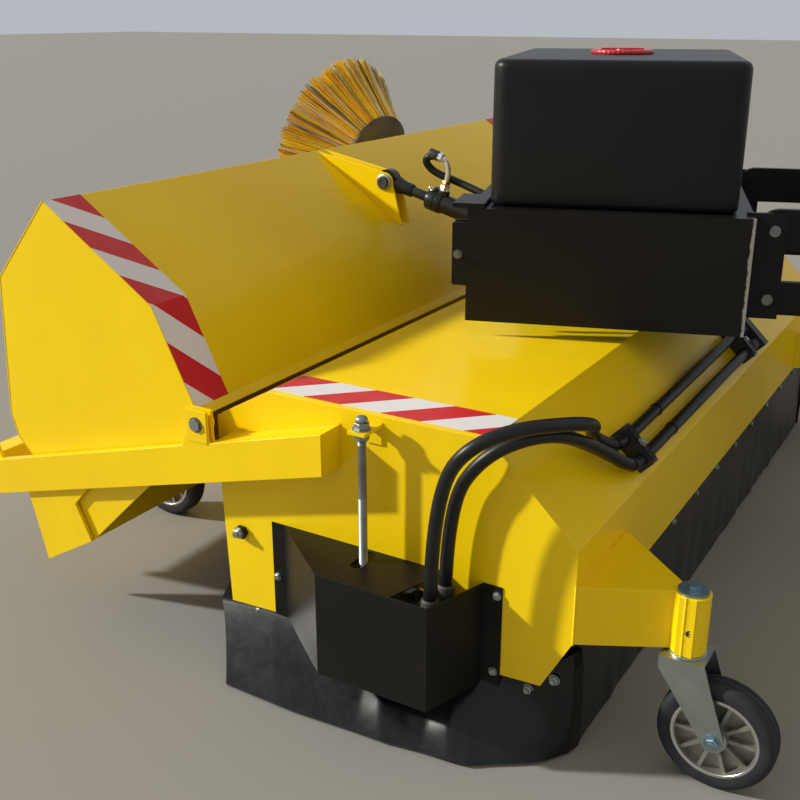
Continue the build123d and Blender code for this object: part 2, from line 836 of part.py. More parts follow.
ram_start = (datum_x + ram_base[0], datum_y + ram_y, ram_base[1])
ram_plane = Plane(origin=ram_start, x_dir=(0, 1, 0), z_dir=(cos(ram_angle), 0, sin(ram_angle)))
ram_side = Plane(origin=ram_start, x_dir=(cos(ram_angle), 0, sin(ram_angle)), z_dir=(0, -1, 0))
gland_length = 42.0
gland_r = barrel_r + 4
bore_r = 25.0
piston_length = 30.0
piston_start = 80.0
rear_port = piston_start + piston_length
front_port = barrel_length - gland_length / 2
port_r = 11.0
port_sink = 4.0
port_rise = 12.0
with BuildPart() as ram_barrel:
    with BuildSketch(ram_plane.offset(base_pin_r)):
        Circle(barrel_r)
    extrude(amount=barrel_length - base_pin_r)
    with BuildSketch(ram_plane.offset(barrel_length - gland_length)):
        Circle(gland_r)
    extrude(amount=gland_length)
    with BuildSketch(ram_side.offset(-base_eye_half)):
        Circle(barrel_r)
    extrude(amount=2 * base_eye_half)
    with BuildSketch(ram_side.offset(-barrel_r)):
        Circle(barrel_r + 15)
    extrude(amount=barrel_r - base_eye_half, mode=Mode.SUBTRACT)
    with BuildSketch(ram_side.offset(base_eye_half)):
        Circle(barrel_r + 15)
    extrude(amount=barrel_r - base_eye_half, mode=Mode.SUBTRACT)
    with BuildSketch(ram_side.offset(-barrel_r)):
        Circle(base_pin_r + run_fit)
    extrude(amount=2 * barrel_r, mode=Mode.SUBTRACT)
    with BuildSketch(ram_plane.offset(piston_start - piston_length)):
        Circle(bore_r)
    extrude(amount=barrel_length - gland_length - piston_start + piston_length, mode=Mode.SUBTRACT)
    with BuildSketch(ram_plane.offset(piston_start)):
        Circle(rod_thick_r + run_fit)
    extrude(amount=barrel_length, mode=Mode.SUBTRACT)
    for port in (rear_port, front_port):
        with BuildSketch(Plane(origin=ram_side.from_local_coords((port, barrel_r - port_sink, 0)),
                               x_dir=(0, 1, 0), z_dir=ram_side.y_dir)):
            Circle(port_r)
        extrude(amount=port_sink + port_rise)
ram_barrel.part.label = "ram_barrel"
export_step(ram_barrel.part, "parts/ram_barrel.step")

# Short hose from the cylinder's front port back along the barrel to its rear port
ram_hose_r = 9.0
ram_hose_rise = 72.0
hose_low = barrel_r + port_rise
ram_route = [
    (front_port, hose_low, 0),
    (front_port, ram_hose_rise, 0),
    (rear_port, ram_hose_rise, 0),
    (rear_port, hose_low, 0),
]
with BuildPart() as ram_hose:
    with BuildLine():
        FilletPolyline(*[ram_side.from_local_coords(point) for point in ram_route], radius=[24, 24])
    with BuildSketch(Plane(origin=ram_side.from_local_coords(ram_route[0]), z_dir=ram_side.y_dir)):
        Circle(ram_hose_r)
    sweep()
ram_hose.part.label = "ram_hose"
export_step(ram_hose.part, "parts/ram_hose.step")

eye_half = ear_gap / 2 - side_gap
eye_bore_r = ear_pin_r + ram_drift
eye_r = eye_bore_r + 13
with BuildPart() as ram_rod:
    with BuildSketch(ram_plane.offset(piston_start)):
        Circle(rod_thick_r)
    extrude(amount=ram_run - eye_bore_r - 4 - piston_start)
    with BuildSketch(ram_plane.offset(piston_start)):
        Circle(bore_r - run_fit)
    extrude(amount=piston_length)
    with BuildSketch(ram_side.offset(-eye_half)):
        with Locations((ram_run, 0)):
            Circle(eye_r)
    extrude(amount=2 * eye_half)
    with BuildSketch(ram_side.offset(-2 * eye_half)):
        with Locations((ram_run, 0)):
            Circle(eye_bore_r)
    extrude(amount=4 * eye_half, mode=Mode.SUBTRACT)
ram_rod.part.label = "ram_rod"
export_step(ram_rod.part, "parts/ram_rod.step")

# Swivel post on the hood
post_foot = 240.0
post_sheet = 10.0
collar_r = post_r + 36
post_top = head_high - 22
with BuildPart() as swivel_post:
    with BuildSketch(at_z(hood_top_z)):
        with Locations((king_x - 10, 0)):
            Rectangle(2 * collar_r - 50, 2 * post_foot)
    extrude(amount=post_sheet)
    with BuildSketch(at_z(hood_top_z)):
        with Locations((king_x, 0)):
            Circle(collar_r)
    extrude(amount=head_low - seat_gap - hood_top_z)
    with BuildSketch(at_z(hood_top_z)):
        with Locations((king_x, 0)):
            Circle(post_r)
    extrude(amount=post_top - hood_top_z)
swivel_post.part.label = "swivel_post"
export_step(swivel_post.part, "parts/swivel_post.step")

# Hoses from the motor over the hood's back, with two clamps and a manifold
hose_r = 15.0
hose_rise = 24.0
hose_spots = {"upper": 103.0, "lower": 43.0}
slope_run = hypot(hood_top_rear - hood_back_x, hood_top_z - hood_back_high)
slope_x = (hood_top_rear - hood_back_x) / slope_run
slope_z = (hood_top_z - hood_back_high) / slope_run
clamp_near_y = hood_half - 410
hose_turn_y = clamp_near_y + 57
clamp_far_y = -178.0
clamp_length = 110.0
clamp_depth = 30.0
manifold_y = -262.0


def at_slope(y):
    origin = (datum_x + hood_back_x, datum_y + y, hood_back_high)
    return Plane(origin=origin, x_dir=(slope_x, 0, slope_z), z_dir=(0, -1, 0))


def hose_spot(name):
    along = hose_spots[name]
    x = hood_back_x + along * slope_x - hose_rise * slope_z
    z = hood_back_high + along * slope_z + hose_rise * slope_x
    return x, z


# Route points from the motor's port block to the clamps, chosen along the real loop
hose_routes = {
    "upper": [(-188, 1322, 330), (-188, 1322, 620), (-302, 1342, 785), (-449, 1087, 756), (-372, 935, 656)],
    "lower": [(-186, 1250, 330), (-186, 1250, 563), (-273, 1258, 707), (-387, 1179, 753), (-415, 957, 636)],
}
with BuildPart() as drive_hoses:
    for name, route in hose_routes.items():
        run_x, run_z = hose_spot(name)
        points = [Vector(*point) for point in route]
        points += [Vector(run_x, hose_turn_y, run_z), Vector(run_x, manifold_y, run_z)]
        points = [point + Vector(datum_x, datum_y, 0) for point in points]
        radii = []
        for before, corner, after in zip(points, points[1:], points[2:]):
            bend = (corner - before).get_angle(after - corner)
            shorter = min((corner - before).length, (after - corner).length)
            radii.append(0.45 * shorter / tan(radians(bend / 2)))
        with BuildLine() as hose_line:
            FilletPolyline(*points, radius=radii)
        with BuildSketch(Plane(origin=points[0], z_dir=(0, 0, 1))):
            Circle(hose_r)
        sweep()
        hose_length = sum(edge.length for edge in hose_line.edges())
        print(f"{name} hose: radii {[round(radius) for radius in radii]}, length {hose_length:.0f}")
drive_hoses.part.label = "drive_hoses"
export_step(drive_hoses.part, "parts/drive_hoses.step")

# columns: y of the left face, depth, height off the hood, whether the hoses pass through
clamp_table = [
    (clamp_near_y, clamp_depth, 44.0, True),
    (clamp_far_y + clamp_depth, clamp_depth, 44.0, True),
    (manifold_y, 40.0, 50.0, False),
]
clamp_mid = (hose_spots["upper"] + hose_spots["lower"]) / 2
with BuildPart() as hose_clamps:
    for face_y, depth, height, through in clamp_table:
        with BuildSketch(at_slope(face_y)):
            with Locations((clamp_mid, height / 2)):
                Rectangle(clamp_length, height)
            if through:
                with Locations((hose_spots["upper"], hose_rise), (hose_spots["lower"], hose_rise)):
                    Circle(hose_r + seat_gap, mode=Mode.SUBTRACT)
        extrude(amount=depth)
hose_clamps.part.label = "hose_clamps"
export_step(hose_clamps.part, "parts/hose_clamps.step")

# Swivel head: a box open at the front, turned about the post
turn = radians(yaw)
ahead = (cos(turn), sin(turn), 0)
across = (-sin(turn), cos(turn), 0)
king = (datum_x + king_x, datum_y, 0)


def head_at_z(z):
    return Plane(origin=(king[0], king[1], z), x_dir=ahead)


def head_at_y(y):
    origin = (king[0] + across[0] * y, king[1] + across[1] * y, 0)
    return Plane(origin=origin, x_dir=ahead, z_dir=(-across[0], -across[1], 0))


head_mid = (head_rear + head_front) / 2
head_length = head_front - head_rear
hub_outer_r = post_r + run_fit + hub_wall
cheek_high = link_high_z + 44
cheek_low = link_low_z - 51
cheek_length = 100.0
pin_over = 8.0
cheek_y = link_y + link_wall / 2 + 1
with BuildPart() as head_frame:
    with BuildSketch(head_at_z(head_high)):
        with Locations((head_mid, 0)):
            Rectangle(head_length, 2 * head_half)
    extrude(amount=-head_wall)
    with BuildSketch(head_at_z(head_low)):
        with Locations((head_mid, head_half - head_wall / 2), (head_mid, head_wall / 2 - head_half)):
            Rectangle(head_length, head_wall)
        with Locations((head_rear + head_wall / 2, 0)):
            Rectangle(head_wall, 2 * head_half)
    extrude(amount=head_high - head_low)
    with BuildSketch(head_at_z(head_low)):
        with Locations((head_rear / 2, 0)):
            Rectangle(-head_rear, 2 * head_half)
        Circle(hub_outer_r)
    extrude(amount=2 * head_wall)
    with BuildSketch(head_at_z(head_low)):
        Circle(hub_outer_r)
        with Locations((head_rear / 2, 0)):
            Rectangle(-head_rear, head_wall * 2)
    extrude(amount=post_top - head_low)
    with BuildSketch(head_at_z(head_low)):
        Circle(post_r + run_fit)
    extrude(amount=post_top - head_low, mode=Mode.SUBTRACT)
    for sign in (1, -1):
        outer = sign * (cheek_y + cheek_wall)
        with BuildSketch(head_at_y(outer)):
            with Locations((head_rear - 30, (cheek_high + cheek_low) / 2)):
                Rectangle(cheek_length, cheek_high - cheek_low)
        extrude(amount=sign * cheek_wall)
        for pin_z in (link_low_z, link_high_z):
            with BuildSketch(head_at_y(outer)):
                with Locations((link_pin_x, pin_z)):
                    Circle(link_pin_r)
            extrude(amount=sign * (cheek_wall + link_wall + pin_over))
head_frame.part.label = "head_frame"
export_step(head_frame.part, "parts/head_frame.step")

# Water tank, hollow, with a neck under its lid
tank_low = head_high
neck_r = lid_r - 12
neck_rise = 12.0
neck_wall = 6.0
neck_depth = 60.0
tank_corner_r = 42.0
tank_edge_r = 20.0
with BuildPart() as water_tank:
    with BuildSketch(head_at_z(tank_low)):
        with Locations((tank_x, tank_y)):
            RectangleRounded(tank_length, tank_width, tank_corner_r)
    extrude(amount=tank_height)
    fillet(water_tank.faces().sort_by(Axis.Z)[-1].edges(), radius=tank_edge_r)
    with BuildSketch(head_at_z(tank_low + tank_wall)):
        with Locations((tank_x, tank_y)):
            RectangleRounded(tank_length - 2 * tank_wall, tank_width - 2 * tank_wall, tank_corner_r - tank_wall)
    extrude(amount=tank_height - tank_wall - tank_edge_r, mode=Mode.SUBTRACT)
    with BuildSketch(head_at_z(tank_low + tank_height)):
        with Locations((tank_x + lid_x, tank_y + lid_y)):
            Circle(neck_r)
    extrude(amount=neck_rise)
    with BuildSketch(head_at_z(tank_low + tank_height + neck_rise)):
        with Locations((tank_x + lid_x, tank_y + lid_y)):
            Circle(neck_r - neck_wall)
    extrude(amount=-neck_depth, mode=Mode.SUBTRACT)
water_tank.part.label = "water_tank"
export_step(water_tank.part, "parts/water_tank.step")

lid_seat = tank_low + tank_height + seat_gap
lid_top = lid_seat + neck_rise + 8
grip_width = 16.0
grip_height = 9.0
with BuildPart() as tank_lid:
    with BuildSketch(head_at_z(lid_seat)):
        with Locations((tank_x + lid_x, tank_y + lid_y)):
            Circle(lid_r)
            Circle(neck_r + seat_gap, mode=Mode.SUBTRACT)
    extrude(amount=neck_rise)
    with BuildSketch(head_at_z(lid_seat + neck_rise)):
        with Locations((tank_x + lid_x, tank_y + lid_y)):
            Circle(lid_r)
    extrude(amount=lid_top - lid_seat - neck_rise)
    with BuildSketch(head_at_z(lid_top)):
        with Locations((tank_x + lid_x, tank_y + lid_y)):
            Rectangle(1.5 * lid_r, grip_width)
    extrude(amount=grip_height)
tank_lid.part.label = "tank_lid"
export_step(tank_lid.part, "parts/tank_lid.step")

# Parallelogram links, each pair joined by a cross tube
# columns: name, pin height, bar height
link_table = [("link_low", link_low_z, link_low_height), ("link_high", link_high_z, link_high_height)]
link_mid = link_pin_x - link_length / 2
link_end = 40.0
cross_tube_r = 30.0
for name, pin_z, bar_height in link_table:
    with BuildPart() as link:
        for sign in (1, -1):
            with BuildSketch(head_at_y(sign * (link_y + link_wall / 2))):
                with Locations((link_mid, pin_z)):
                    SlotCenterToCenter(link_length - bar_height + 2 * link_end, bar_height)
                with Locations((link_pin_x, pin_z), (link_pin_x - link_length, pin_z)):
                    Circle(link_pin_r + run_fit, mode=Mode.SUBTRACT)
            extrude(amount=sign * link_wall)
        with BuildSketch(head_at_y(link_y)):
            with Locations((link_mid, pin_z)):
                Circle(cross_tube_r)
        extrude(amount=2 * link_y)
    link.part.label = name
    export_step(link.part, f"parts/{name}.step")

# Coupling frame for a rear or front three-point linkage
hitch_x = link_pin_x - link_length
frame_back = hitch_x - 130
frame_tube = 70.0
frame_tube_wall = 6.0
frame_ahead = 32.0
frame_foot = 60.0
hitch_boss_r = hitch_pin_r + 8
hitch_pin_length = 92.0
hitch_top_z = hitch_low_z + hitch_rise
mast_half = 30.0
mast_wall = 12.0
with BuildPart() as coupling_frame:
    for sign in (1, -1):
        outer = sign * (cheek_y + cheek_wall)
        with BuildSketch(head_at_y(outer)):
            Polygon(
                (hitch_x + frame_ahead, cheek_low),
                (hitch_x + frame_ahead, cheek_high),
                (frame_back, cheek_high),
                (frame_back, hitch_low_z - 40),
                (frame_back + frame_foot, hitch_low_z - 40),
                align=None,
            )
        extrude(amount=sign * cheek_wall)
        for pin_z in (link_low_z, link_high_z):
            with BuildSketch(head_at_y(outer)):
                with Locations((hitch_x, pin_z)):
                    Circle(link_pin_r)
            extrude(amount=sign * (cheek_wall + link_wall + pin_over))
        with BuildSketch(head_at_y(sign * hitch_half)):
            with Locations((frame_back + frame_foot / 2, hitch_low_z)):
                Circle(hitch_boss_r)
        extrude(amount=sign * (hitch_half - cheek_y))
        with BuildSketch(head_at_y(sign * (hitch_half + hitch_pin_length))):
            with Locations((frame_back + frame_foot / 2, hitch_low_z)):
                Circle(hitch_pin_r)
        extrude(amount=sign * (hitch_pin_length + 8))
        with BuildSketch(head_at_y(sign * (mast_half + mast_wall))):
            Polygon(
                (frame_back + frame_foot, link_high_z - 30),
                (frame_back + frame_foot, hitch_top_z),
                (frame_back - 30, hitch_top_z + 34),
                (frame_back - 66, hitch_top_z + 20),
                (frame_back - 66, hitch_top_z - 30),
                (frame_back, link_high_z - 30),
                align=None,
            )
            with Locations((frame_back - 30, hitch_top_z)):
                Circle(hitch_top_r, mode=Mode.SUBTRACT)
        extrude(amount=sign * mast_wall)
    for tube_z in (hitch_low_z + 10, link_high_z):
        with BuildSketch(head_at_y(cheek_y)):
            with Locations((frame_back + frame_tube / 2, tube_z)):
                Rectangle(frame_tube, frame_tube)
                Rectangle(frame_tube - 2 * frame_tube_wall, frame_tube - 2 * frame_tube_wall, mode=Mode.SUBTRACT)
        extrude(amount=2 * cheek_y)
coupling_frame.part.label = "coupling_frame"
export_step(coupling_frame.part, "parts/coupling_frame.step")

# Side brush: hinge bracket on the front corner, folding arm, motor, disc and splayed tufts
rise = radians(brush_rise)
toe = radians(brush_toe)
brush_axis = Vector(cos(rise) * cos(toe), cos(rise) * sin(toe), sin(rise))
brush_origin = Vector(datum_x + brush_centre[0], datum_y + brush_y, brush_centre[1])
brush_plane = Plane(origin=brush_origin, z_dir=brush_axis)
bracket_half = 34.0
bracket_plate = 10.0
boss_r = 30.0
pivot_r = 14.0
pivot_over = 6.0
foot_width = 2 * bracket_half + 18
with BuildPart() as brush_bracket:
    for plate_y in (brush_y + bracket_half, brush_y - bracket_half + bracket_plate):
        with BuildSketch(at_y(plate_y)):
            with Locations(brush_hinge):
                Circle(boss_r)
            Polygon(
                (arm_front_x, beam_low),
                (arm_front_x, beam_low + beam_height),
                (brush_hinge[0] - boss_r, brush_hinge[1]),
                (brush_hinge[0] + boss_r, brush_hinge[1]),
                align=None,
            )
        extrude(amount=bracket_plate)
    with BuildSketch(at_y(brush_y + bracket_half + pivot_over)):
        with Locations(brush_hinge):
            Circle(pivot_r)
    extrude(amount=2 * (bracket_half + pivot_over))
    with BuildSketch(at_x(arm_front_x)):
        with Locations((brush_y + 9, beam_mid_z)):
            Rectangle(foot_width, beam_height - 8)
    extrude(amount=bracket_plate)
brush_bracket.part.label = "brush_bracket"
export_step(brush_bracket.part, "parts/brush_bracket.step")

motor_r = 55.0
motor_length = 120.0
arm_half = bracket_half - bracket_plate - 2
back_gap = 14.0
motor_boss_r = 40.0
spindle_r = 16.0
motor_plate = 150.0
motor_mid = brush_plane.from_local_coords((0, 0, -(back_gap + motor_length * 0.6)))
motor_spot = (motor_mid.X - datum_x, motor_mid.Z)
with BuildPart() as brush_arm:
    with BuildSketch(at_y(brush_y + arm_half)):
        with Locations(brush_hinge):
            Circle(boss_r)
        with Locations(motor_spot):
            Circle(motor_boss_r)
        Polygon(
            (brush_hinge[0] - boss_r, brush_hinge[1]),
            (motor_spot[0] - motor_boss_r, motor_spot[1]),
            (motor_spot[0] + motor_boss_r, motor_spot[1]),
            (brush_hinge[0] + boss_r, brush_hinge[1]),
            align=None,
        )
    extrude(amount=2 * arm_half)
    with BuildSketch(brush_plane.offset(-back_gap)):
        Circle(motor_r)
    extrude(amount=-motor_length)
    with BuildSketch(brush_plane.offset(-back_gap)):
        Rectangle(motor_plate, motor_plate)
    extrude(amount=-bracket_plate)
    with BuildSketch(brush_plane.offset(-back_gap - 2)):
        Circle(spindle_r)
    extrude(amount=back_gap + brush_disc_wall)
    with BuildSketch(at_y(brush_y + 2 * arm_half)):
        with Locations(brush_hinge):
            Circle(pivot_r + run_fit)
    extrude(amount=4 * arm_half, mode=Mode.SUBTRACT)
brush_arm.part.label = "brush_arm"
export_step(brush_arm.part, "parts/brush_arm.step")

tuft_ring = brush_disc_r - 22
tuft_root_r = 15.0
tuft_tip_r = 27.0
with BuildPart() as side_brush:
    with BuildSketch(brush_plane):
        Circle(brush_disc_r)
        Circle(spindle_r + run_fit, mode=Mode.SUBTRACT)
    extrude(amount=brush_disc_wall)
    for tuft in range(tuft_count):
        angle = radians(360 * tuft / tuft_count)
        outward = Vector(cos(angle), sin(angle), 0)
        root = brush_plane.from_local_coords(outward * tuft_ring + Vector(0, 0, 6))
        tip = brush_plane.from_local_coords(outward * (brush_tip_r - tuft_tip_r) + Vector(0, 0, brush_depth))
        length = (tip - root).length
        tuft_plane = Plane(origin=root, x_dir=(tip - root), z_dir=(tip - root).cross(brush_axis))
        with BuildSketch(tuft_plane):
            Polygon((0, 0), (length, 0), (length, tuft_tip_r), (0, tuft_root_r), align=None)
        revolve(axis=Axis(root, tip - root))
side_brush.part.label = "side_brush"
export_step(side_brush.part, "parts/side_brush.step")
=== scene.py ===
import json
from math import atan2, cos, hypot, pi, radians, sin
from random import Random

import bmesh
import bpy
from mathutils import Matrix, Vector
from mathutils.noise import noise


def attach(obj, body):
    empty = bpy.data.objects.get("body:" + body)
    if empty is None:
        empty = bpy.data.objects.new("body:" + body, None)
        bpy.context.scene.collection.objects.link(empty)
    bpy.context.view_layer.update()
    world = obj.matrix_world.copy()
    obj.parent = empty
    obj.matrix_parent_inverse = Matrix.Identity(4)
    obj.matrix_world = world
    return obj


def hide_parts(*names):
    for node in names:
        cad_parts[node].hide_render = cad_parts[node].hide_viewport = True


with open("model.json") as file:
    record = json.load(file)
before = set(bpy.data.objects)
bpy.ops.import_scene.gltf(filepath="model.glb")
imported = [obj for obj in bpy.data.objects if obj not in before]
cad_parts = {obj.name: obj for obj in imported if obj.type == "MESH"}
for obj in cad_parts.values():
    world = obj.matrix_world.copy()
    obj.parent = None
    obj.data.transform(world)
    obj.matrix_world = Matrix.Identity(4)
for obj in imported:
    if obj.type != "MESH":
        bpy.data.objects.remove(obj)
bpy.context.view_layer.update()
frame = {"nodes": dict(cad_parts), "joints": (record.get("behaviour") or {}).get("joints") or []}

node = frame["nodes"]

# Studio floor, light and viewpoint. The floor is a wide pale slab, the lamp shines like a low sun
# from the hopper's side, and the room around is evenly pale. Places are in millimetres from the
# roller's middle, on the ground, as a fitter would measure them on the machine.
joint = {entry["name"]: entry for entry in frame["joints"]}
roller_mid = joint["roller_spin"]["pos_m"]


def spot(x, y, z):
    return Vector((roller_mid[0] + x / 1000, roller_mid[1] + y / 1000, z / 1000))


def place(tree, kind, feeds=None, **settings):
    made = tree.nodes.new(kind)
    for name, value in settings.items():
        setattr(made, name, value)
    for name, value in (feeds or {}).items():
        if isinstance(value, bpy.types.NodeSocket):
            tree.links.new(value, made.inputs[name])
        else:
            made.inputs[name].default_value = value
    return made


def show(name, mesh):
    shown = bpy.data.objects.new(name, mesh)
    bpy.context.scene.collection.objects.link(shown)
    return shown


floor_mesh = bpy.data.meshes.new("floor")
floor_mesh.from_pydata([(-60, -60, 0), (60, -60, 0), (60, 60, 0), (-60, 60, 0)], [], [(0, 1, 2, 3)])
floor = show("floor", floor_mesh)
floor_finish = bpy.data.materials.new("pale floor")
floor_finish.use_nodes = True
floor_shader = floor_finish.node_tree.nodes["Principled BSDF"]
floor_shader.inputs["Base Color"].default_value = (0.30, 0.30, 0.29, 1)
floor_shader.inputs["Roughness"].default_value = 0.9
floor_mesh.materials.append(floor_finish)

room = bpy.data.worlds.new("room")
room.use_nodes = True
bpy.context.scene.world = room
room_tree = room.node_tree
room_tree.nodes.clear()
ray = place(room_tree, "ShaderNodeLightPath")
sees_room = place(room_tree, "ShaderNodeMath", {0: ray.outputs["Is Camera Ray"], 1: ray.outputs["Is Glossy Ray"]},
                  operation="MAXIMUM")
sees_room = place(room_tree, "ShaderNodeMath", {0: sees_room.outputs[0], 1: ray.outputs["Is Transmission Ray"]},
                  operation="MAXIMUM")
room_light = place(room_tree, "ShaderNodeBackground", {"Color": (1.0, 0.90, 0.76, 1), "Strength": 0.48})
room_view = place(room_tree, "ShaderNodeBackground", {"Color": (0.46, 0.49, 0.53, 1), "Strength": 1.0})
room_mix = place(room_tree, "ShaderNodeMixShader",
                 {0: sees_room.outputs[0], 1: room_light.outputs[0], 2: room_view.outputs[0]})
place(room_tree, "ShaderNodeOutputWorld", {0: room_mix.outputs[0]})

lamp_data = bpy.data.lights.new("lamp", "SUN")
lamp_data.energy = 3.8
lamp_data.angle = radians(2.5)
lamp_data.color = (1.0, 0.965, 0.90)
lamp = show("lamp", lamp_data)
lamp.rotation_euler = Vector((0.84, 0.42, 0.46)).to_track_quat("Z", "Y").to_euler()

view_data = bpy.data.cameras.new("camera")
view_data.lens = 47.97
view_data.sensor_width = 36
camera = show("camera", view_data)
look = Vector((0.4816, -0.8062, -0.3436)).normalized()
camera.matrix_world = Matrix.Translation(spot(-1142, 3042, 1545)) @ look.to_track_quat("-Z", "Y").to_matrix().to_4x4()
bpy.context.scene.camera = camera
bpy.context.scene.view_settings.view_transform = "Standard"

# Hood, side arms, front beam and castor brackets. Steel sheet and box section, folded and welded
# together, then sprayed in one bright yellow coat. The folds and cut edges are a little rounded,
# and fine dust from the yard lies on the lower faces.
finish_group = bpy.data.node_groups.new("machine surface", "ShaderNodeTree")
for name, kind, usual in (
    ("Base", "NodeSocketColor", (0.5, 0.5, 0.5, 1)),
    ("Patch", "NodeSocketColor", (0.5, 0.5, 0.5, 1)),
    ("Patch Scale", "NodeSocketFloat", 3.0),
    ("Grain Scale", "NodeSocketFloat", 400.0),
    ("Grain Depth", "NodeSocketFloat", 0.0001),
    ("Wave Depth", "NodeSocketFloat", 0.0),
    ("Rough", "NodeSocketFloat", 0.4),
    ("Rough Spread", "NodeSocketFloat", 0.1),
    ("Dust", "NodeSocketFloat", 0.1),
    ("Dust Colour", "NodeSocketColor", (0.30, 0.27, 0.22, 1)),
):
    finish_group.interface.new_socket(name=name, in_out="INPUT", socket_type=kind).default_value = usual
for name, kind in (("Colour", "NodeSocketColor"), ("Roughness", "NodeSocketFloat"), ("Normal", "NodeSocketVector")):
    finish_group.interface.new_socket(name=name, in_out="OUTPUT", socket_type=kind)
given = place(finish_group, "NodeGroupInput").outputs
where = place(finish_group, "ShaderNodeTexCoord").outputs["Object"]
height = place(finish_group, "ShaderNodeSeparateXYZ", {0: where}).outputs["Z"]
facing = place(finish_group, "ShaderNodeSeparateXYZ",
               {0: place(finish_group, "ShaderNodeNewGeometry").outputs["Normal"]}).outputs["Z"]
patches = place(finish_group, "ShaderNodeTexNoise", {"Vector": where, "Scale": given["Patch Scale"], "Detail": 5.0})
grain = place(finish_group, "ShaderNodeTexNoise", {"Vector": where, "Scale": given["Grain Scale"], "Detail": 2.0})
waves = place(finish_group, "ShaderNodeTexNoise", {"Vector": where, "Scale": 5.0, "Detail": 1.0})
specks = place(finish_group, "ShaderNodeTexNoise", {"Vector": where, "Scale": 38.0, "Detail": 6.0, "Roughness": 0.7})
patch_mask = place(finish_group, "ShaderNodeMapRange", {0: patches.outputs[0], 1: 0.38, 2: 0.66})
low_mask = place(finish_group, "ShaderNodeMapRange", {0: height, 1: 0.9, 2: 0.05, 3: 0.25, 4: 1.0})
up_mask = place(finish_group, "ShaderNodeMapRange", {0: facing, 1: -0.2, 2: 0.9, 3: 0.35, 4: 1.0})
speck_mask = place(finish_group, "ShaderNodeMapRange", {0: specks.outputs[0], 1: 0.42, 2: 0.72})
dust_mask = speck_mask.outputs[0]
for mask in (low_mask.outputs[0], up_mask.outputs[0], given["Dust"]):
    dust_mask = place(finish_group, "ShaderNodeMath", {0: dust_mask, 1: mask}, operation="MULTIPLY").outputs[0]
painted = place(finish_group, "ShaderNodeMix", {0: patch_mask.outputs[0], 6: given["Base"], 7: given["Patch"]},
                data_type="RGBA")
dusty = place(finish_group, "ShaderNodeMix", {0: dust_mask, 6: painted.outputs[2], 7: given["Dust Colour"]},
              data_type="RGBA")
spread = place(finish_group, "ShaderNodeMath",
               {0: patches.outputs[0], 1: given["Rough Spread"], 2: given["Rough"]}, operation="MULTIPLY_ADD")
dulled = place(finish_group, "ShaderNodeMath", {0: dust_mask, 1: 0.5, 2: spread.outputs[0]}, operation="MULTIPLY_ADD")
wave_bump = place(finish_group, "ShaderNodeBump",
                  {"Height": waves.outputs[0], "Distance": given["Wave Depth"], "Strength": 1.0})
grain_bump = place(finish_group, "ShaderNodeBump", {"Height": grain.outputs[0], "Distance": given["Grain Depth"],
                                                    "Strength": 1.0, "Normal": wave_bump.outputs[0]})
place(finish_group, "NodeGroupOutput", {"Colour": dusty.outputs[2], "Roughness": dulled.outputs[0],
                                        "Normal": grain_bump.outputs[0]})


def finished(name, values, **shader_values):
    material = bpy.data.materials.new(name)
    material.use_nodes = True
    tree = material.node_tree
    shader = tree.nodes["Principled BSDF"]
    film = place(tree, "ShaderNodeGroup", node_tree=finish_group)
    for socket, value in values.items():
        film.inputs[socket].default_value = value
    tree.links.new(film.outputs["Colour"], shader.inputs["Base Color"])
    tree.links.new(film.outputs["Roughness"], shader.inputs["Roughness"])
    tree.links.new(film.outputs["Normal"], shader.inputs["Normal"])
    for socket, value in shader_values.items():
        shader.inputs[socket.replace("_", " ")].default_value = value
    return material


yellow_paint = finished(
    "yellow machine paint",
    {"Base": (1.0, 0.725, 0.003, 1), "Patch": (0.95, 0.66, 0.002, 1), "Patch Scale": 1.6, "Grain Scale": 260.0,
     "Grain Depth": 0.00012, "Wave Depth": 0.004, "Rough": 0.25, "Rough Spread": 0.10, "Dust": 0.10,
     "Dust Colour": (0.40, 0.34, 0.18, 1)},
    Coat_Weight=0.08, Coat_Roughness=0.10, Specular_IOR_Level=0.24)


def evaluated_mesh(thing):
    graph = bpy.context.evaluated_depsgraph_get()
    return bpy.data.meshes.new_from_object(thing.evaluated_get(graph), depsgraph=graph)


def softened(name, width, material, body):
    mesh = node[name].data.copy()
    work = bmesh.new()
    work.from_mesh(mesh)
    bmesh.ops.remove_doubles(work, verts=work.verts, dist=2e-5)
    bmesh.ops.dissolve_limit(work, angle_limit=radians(0.6), verts=work.verts, edges=work.edges)
    for face in work.faces:
        face.smooth = True
    work.to_mesh(mesh)
    work.free()
    if "custom_normal" in mesh.attributes:
        mesh.attributes.remove(mesh.attributes["custom_normal"])
    mesh.materials.clear()
    mesh.materials.append(material)
    made = show(f"{name}_finished", mesh)
    edge = made.modifiers.new("rounded edges", "BEVEL")
    edge.width = width / 1000
    edge.segments = 2
    edge.limit_method = "ANGLE"
    edge.angle_limit = radians(32)
    edge.harden_normals = True
    edge.use_clamp_overlap = True
    made.data = evaluated_mesh(made)
    made.modifiers.clear()
    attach(made, body)
    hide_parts(name)
    return made


yellow_nodes = ["hood_panel", "hood_end_left", "hood_end_right", "side_arm_left", "side_arm_right", "front_beam",
                "brush_bracket", "castor_bracket_rear_left", "castor_bracket_rear_right",
                "castor_bracket_front_left", "castor_bracket_front_right"]
for name in yellow_nodes:
    softened(name, 1.6, yellow_paint, "hood")

# Warning tape on the ends of the hood's top. Red and white vinyl, about 120 mm wide, with slanted
# bars, laid over the fold and pressed down at its edges. The same roll is used on the hopper.
hood_half = 1215
tape_edge, tape_width, tape_lift = 1.5, 122, 0.7
bar_length = 102.5


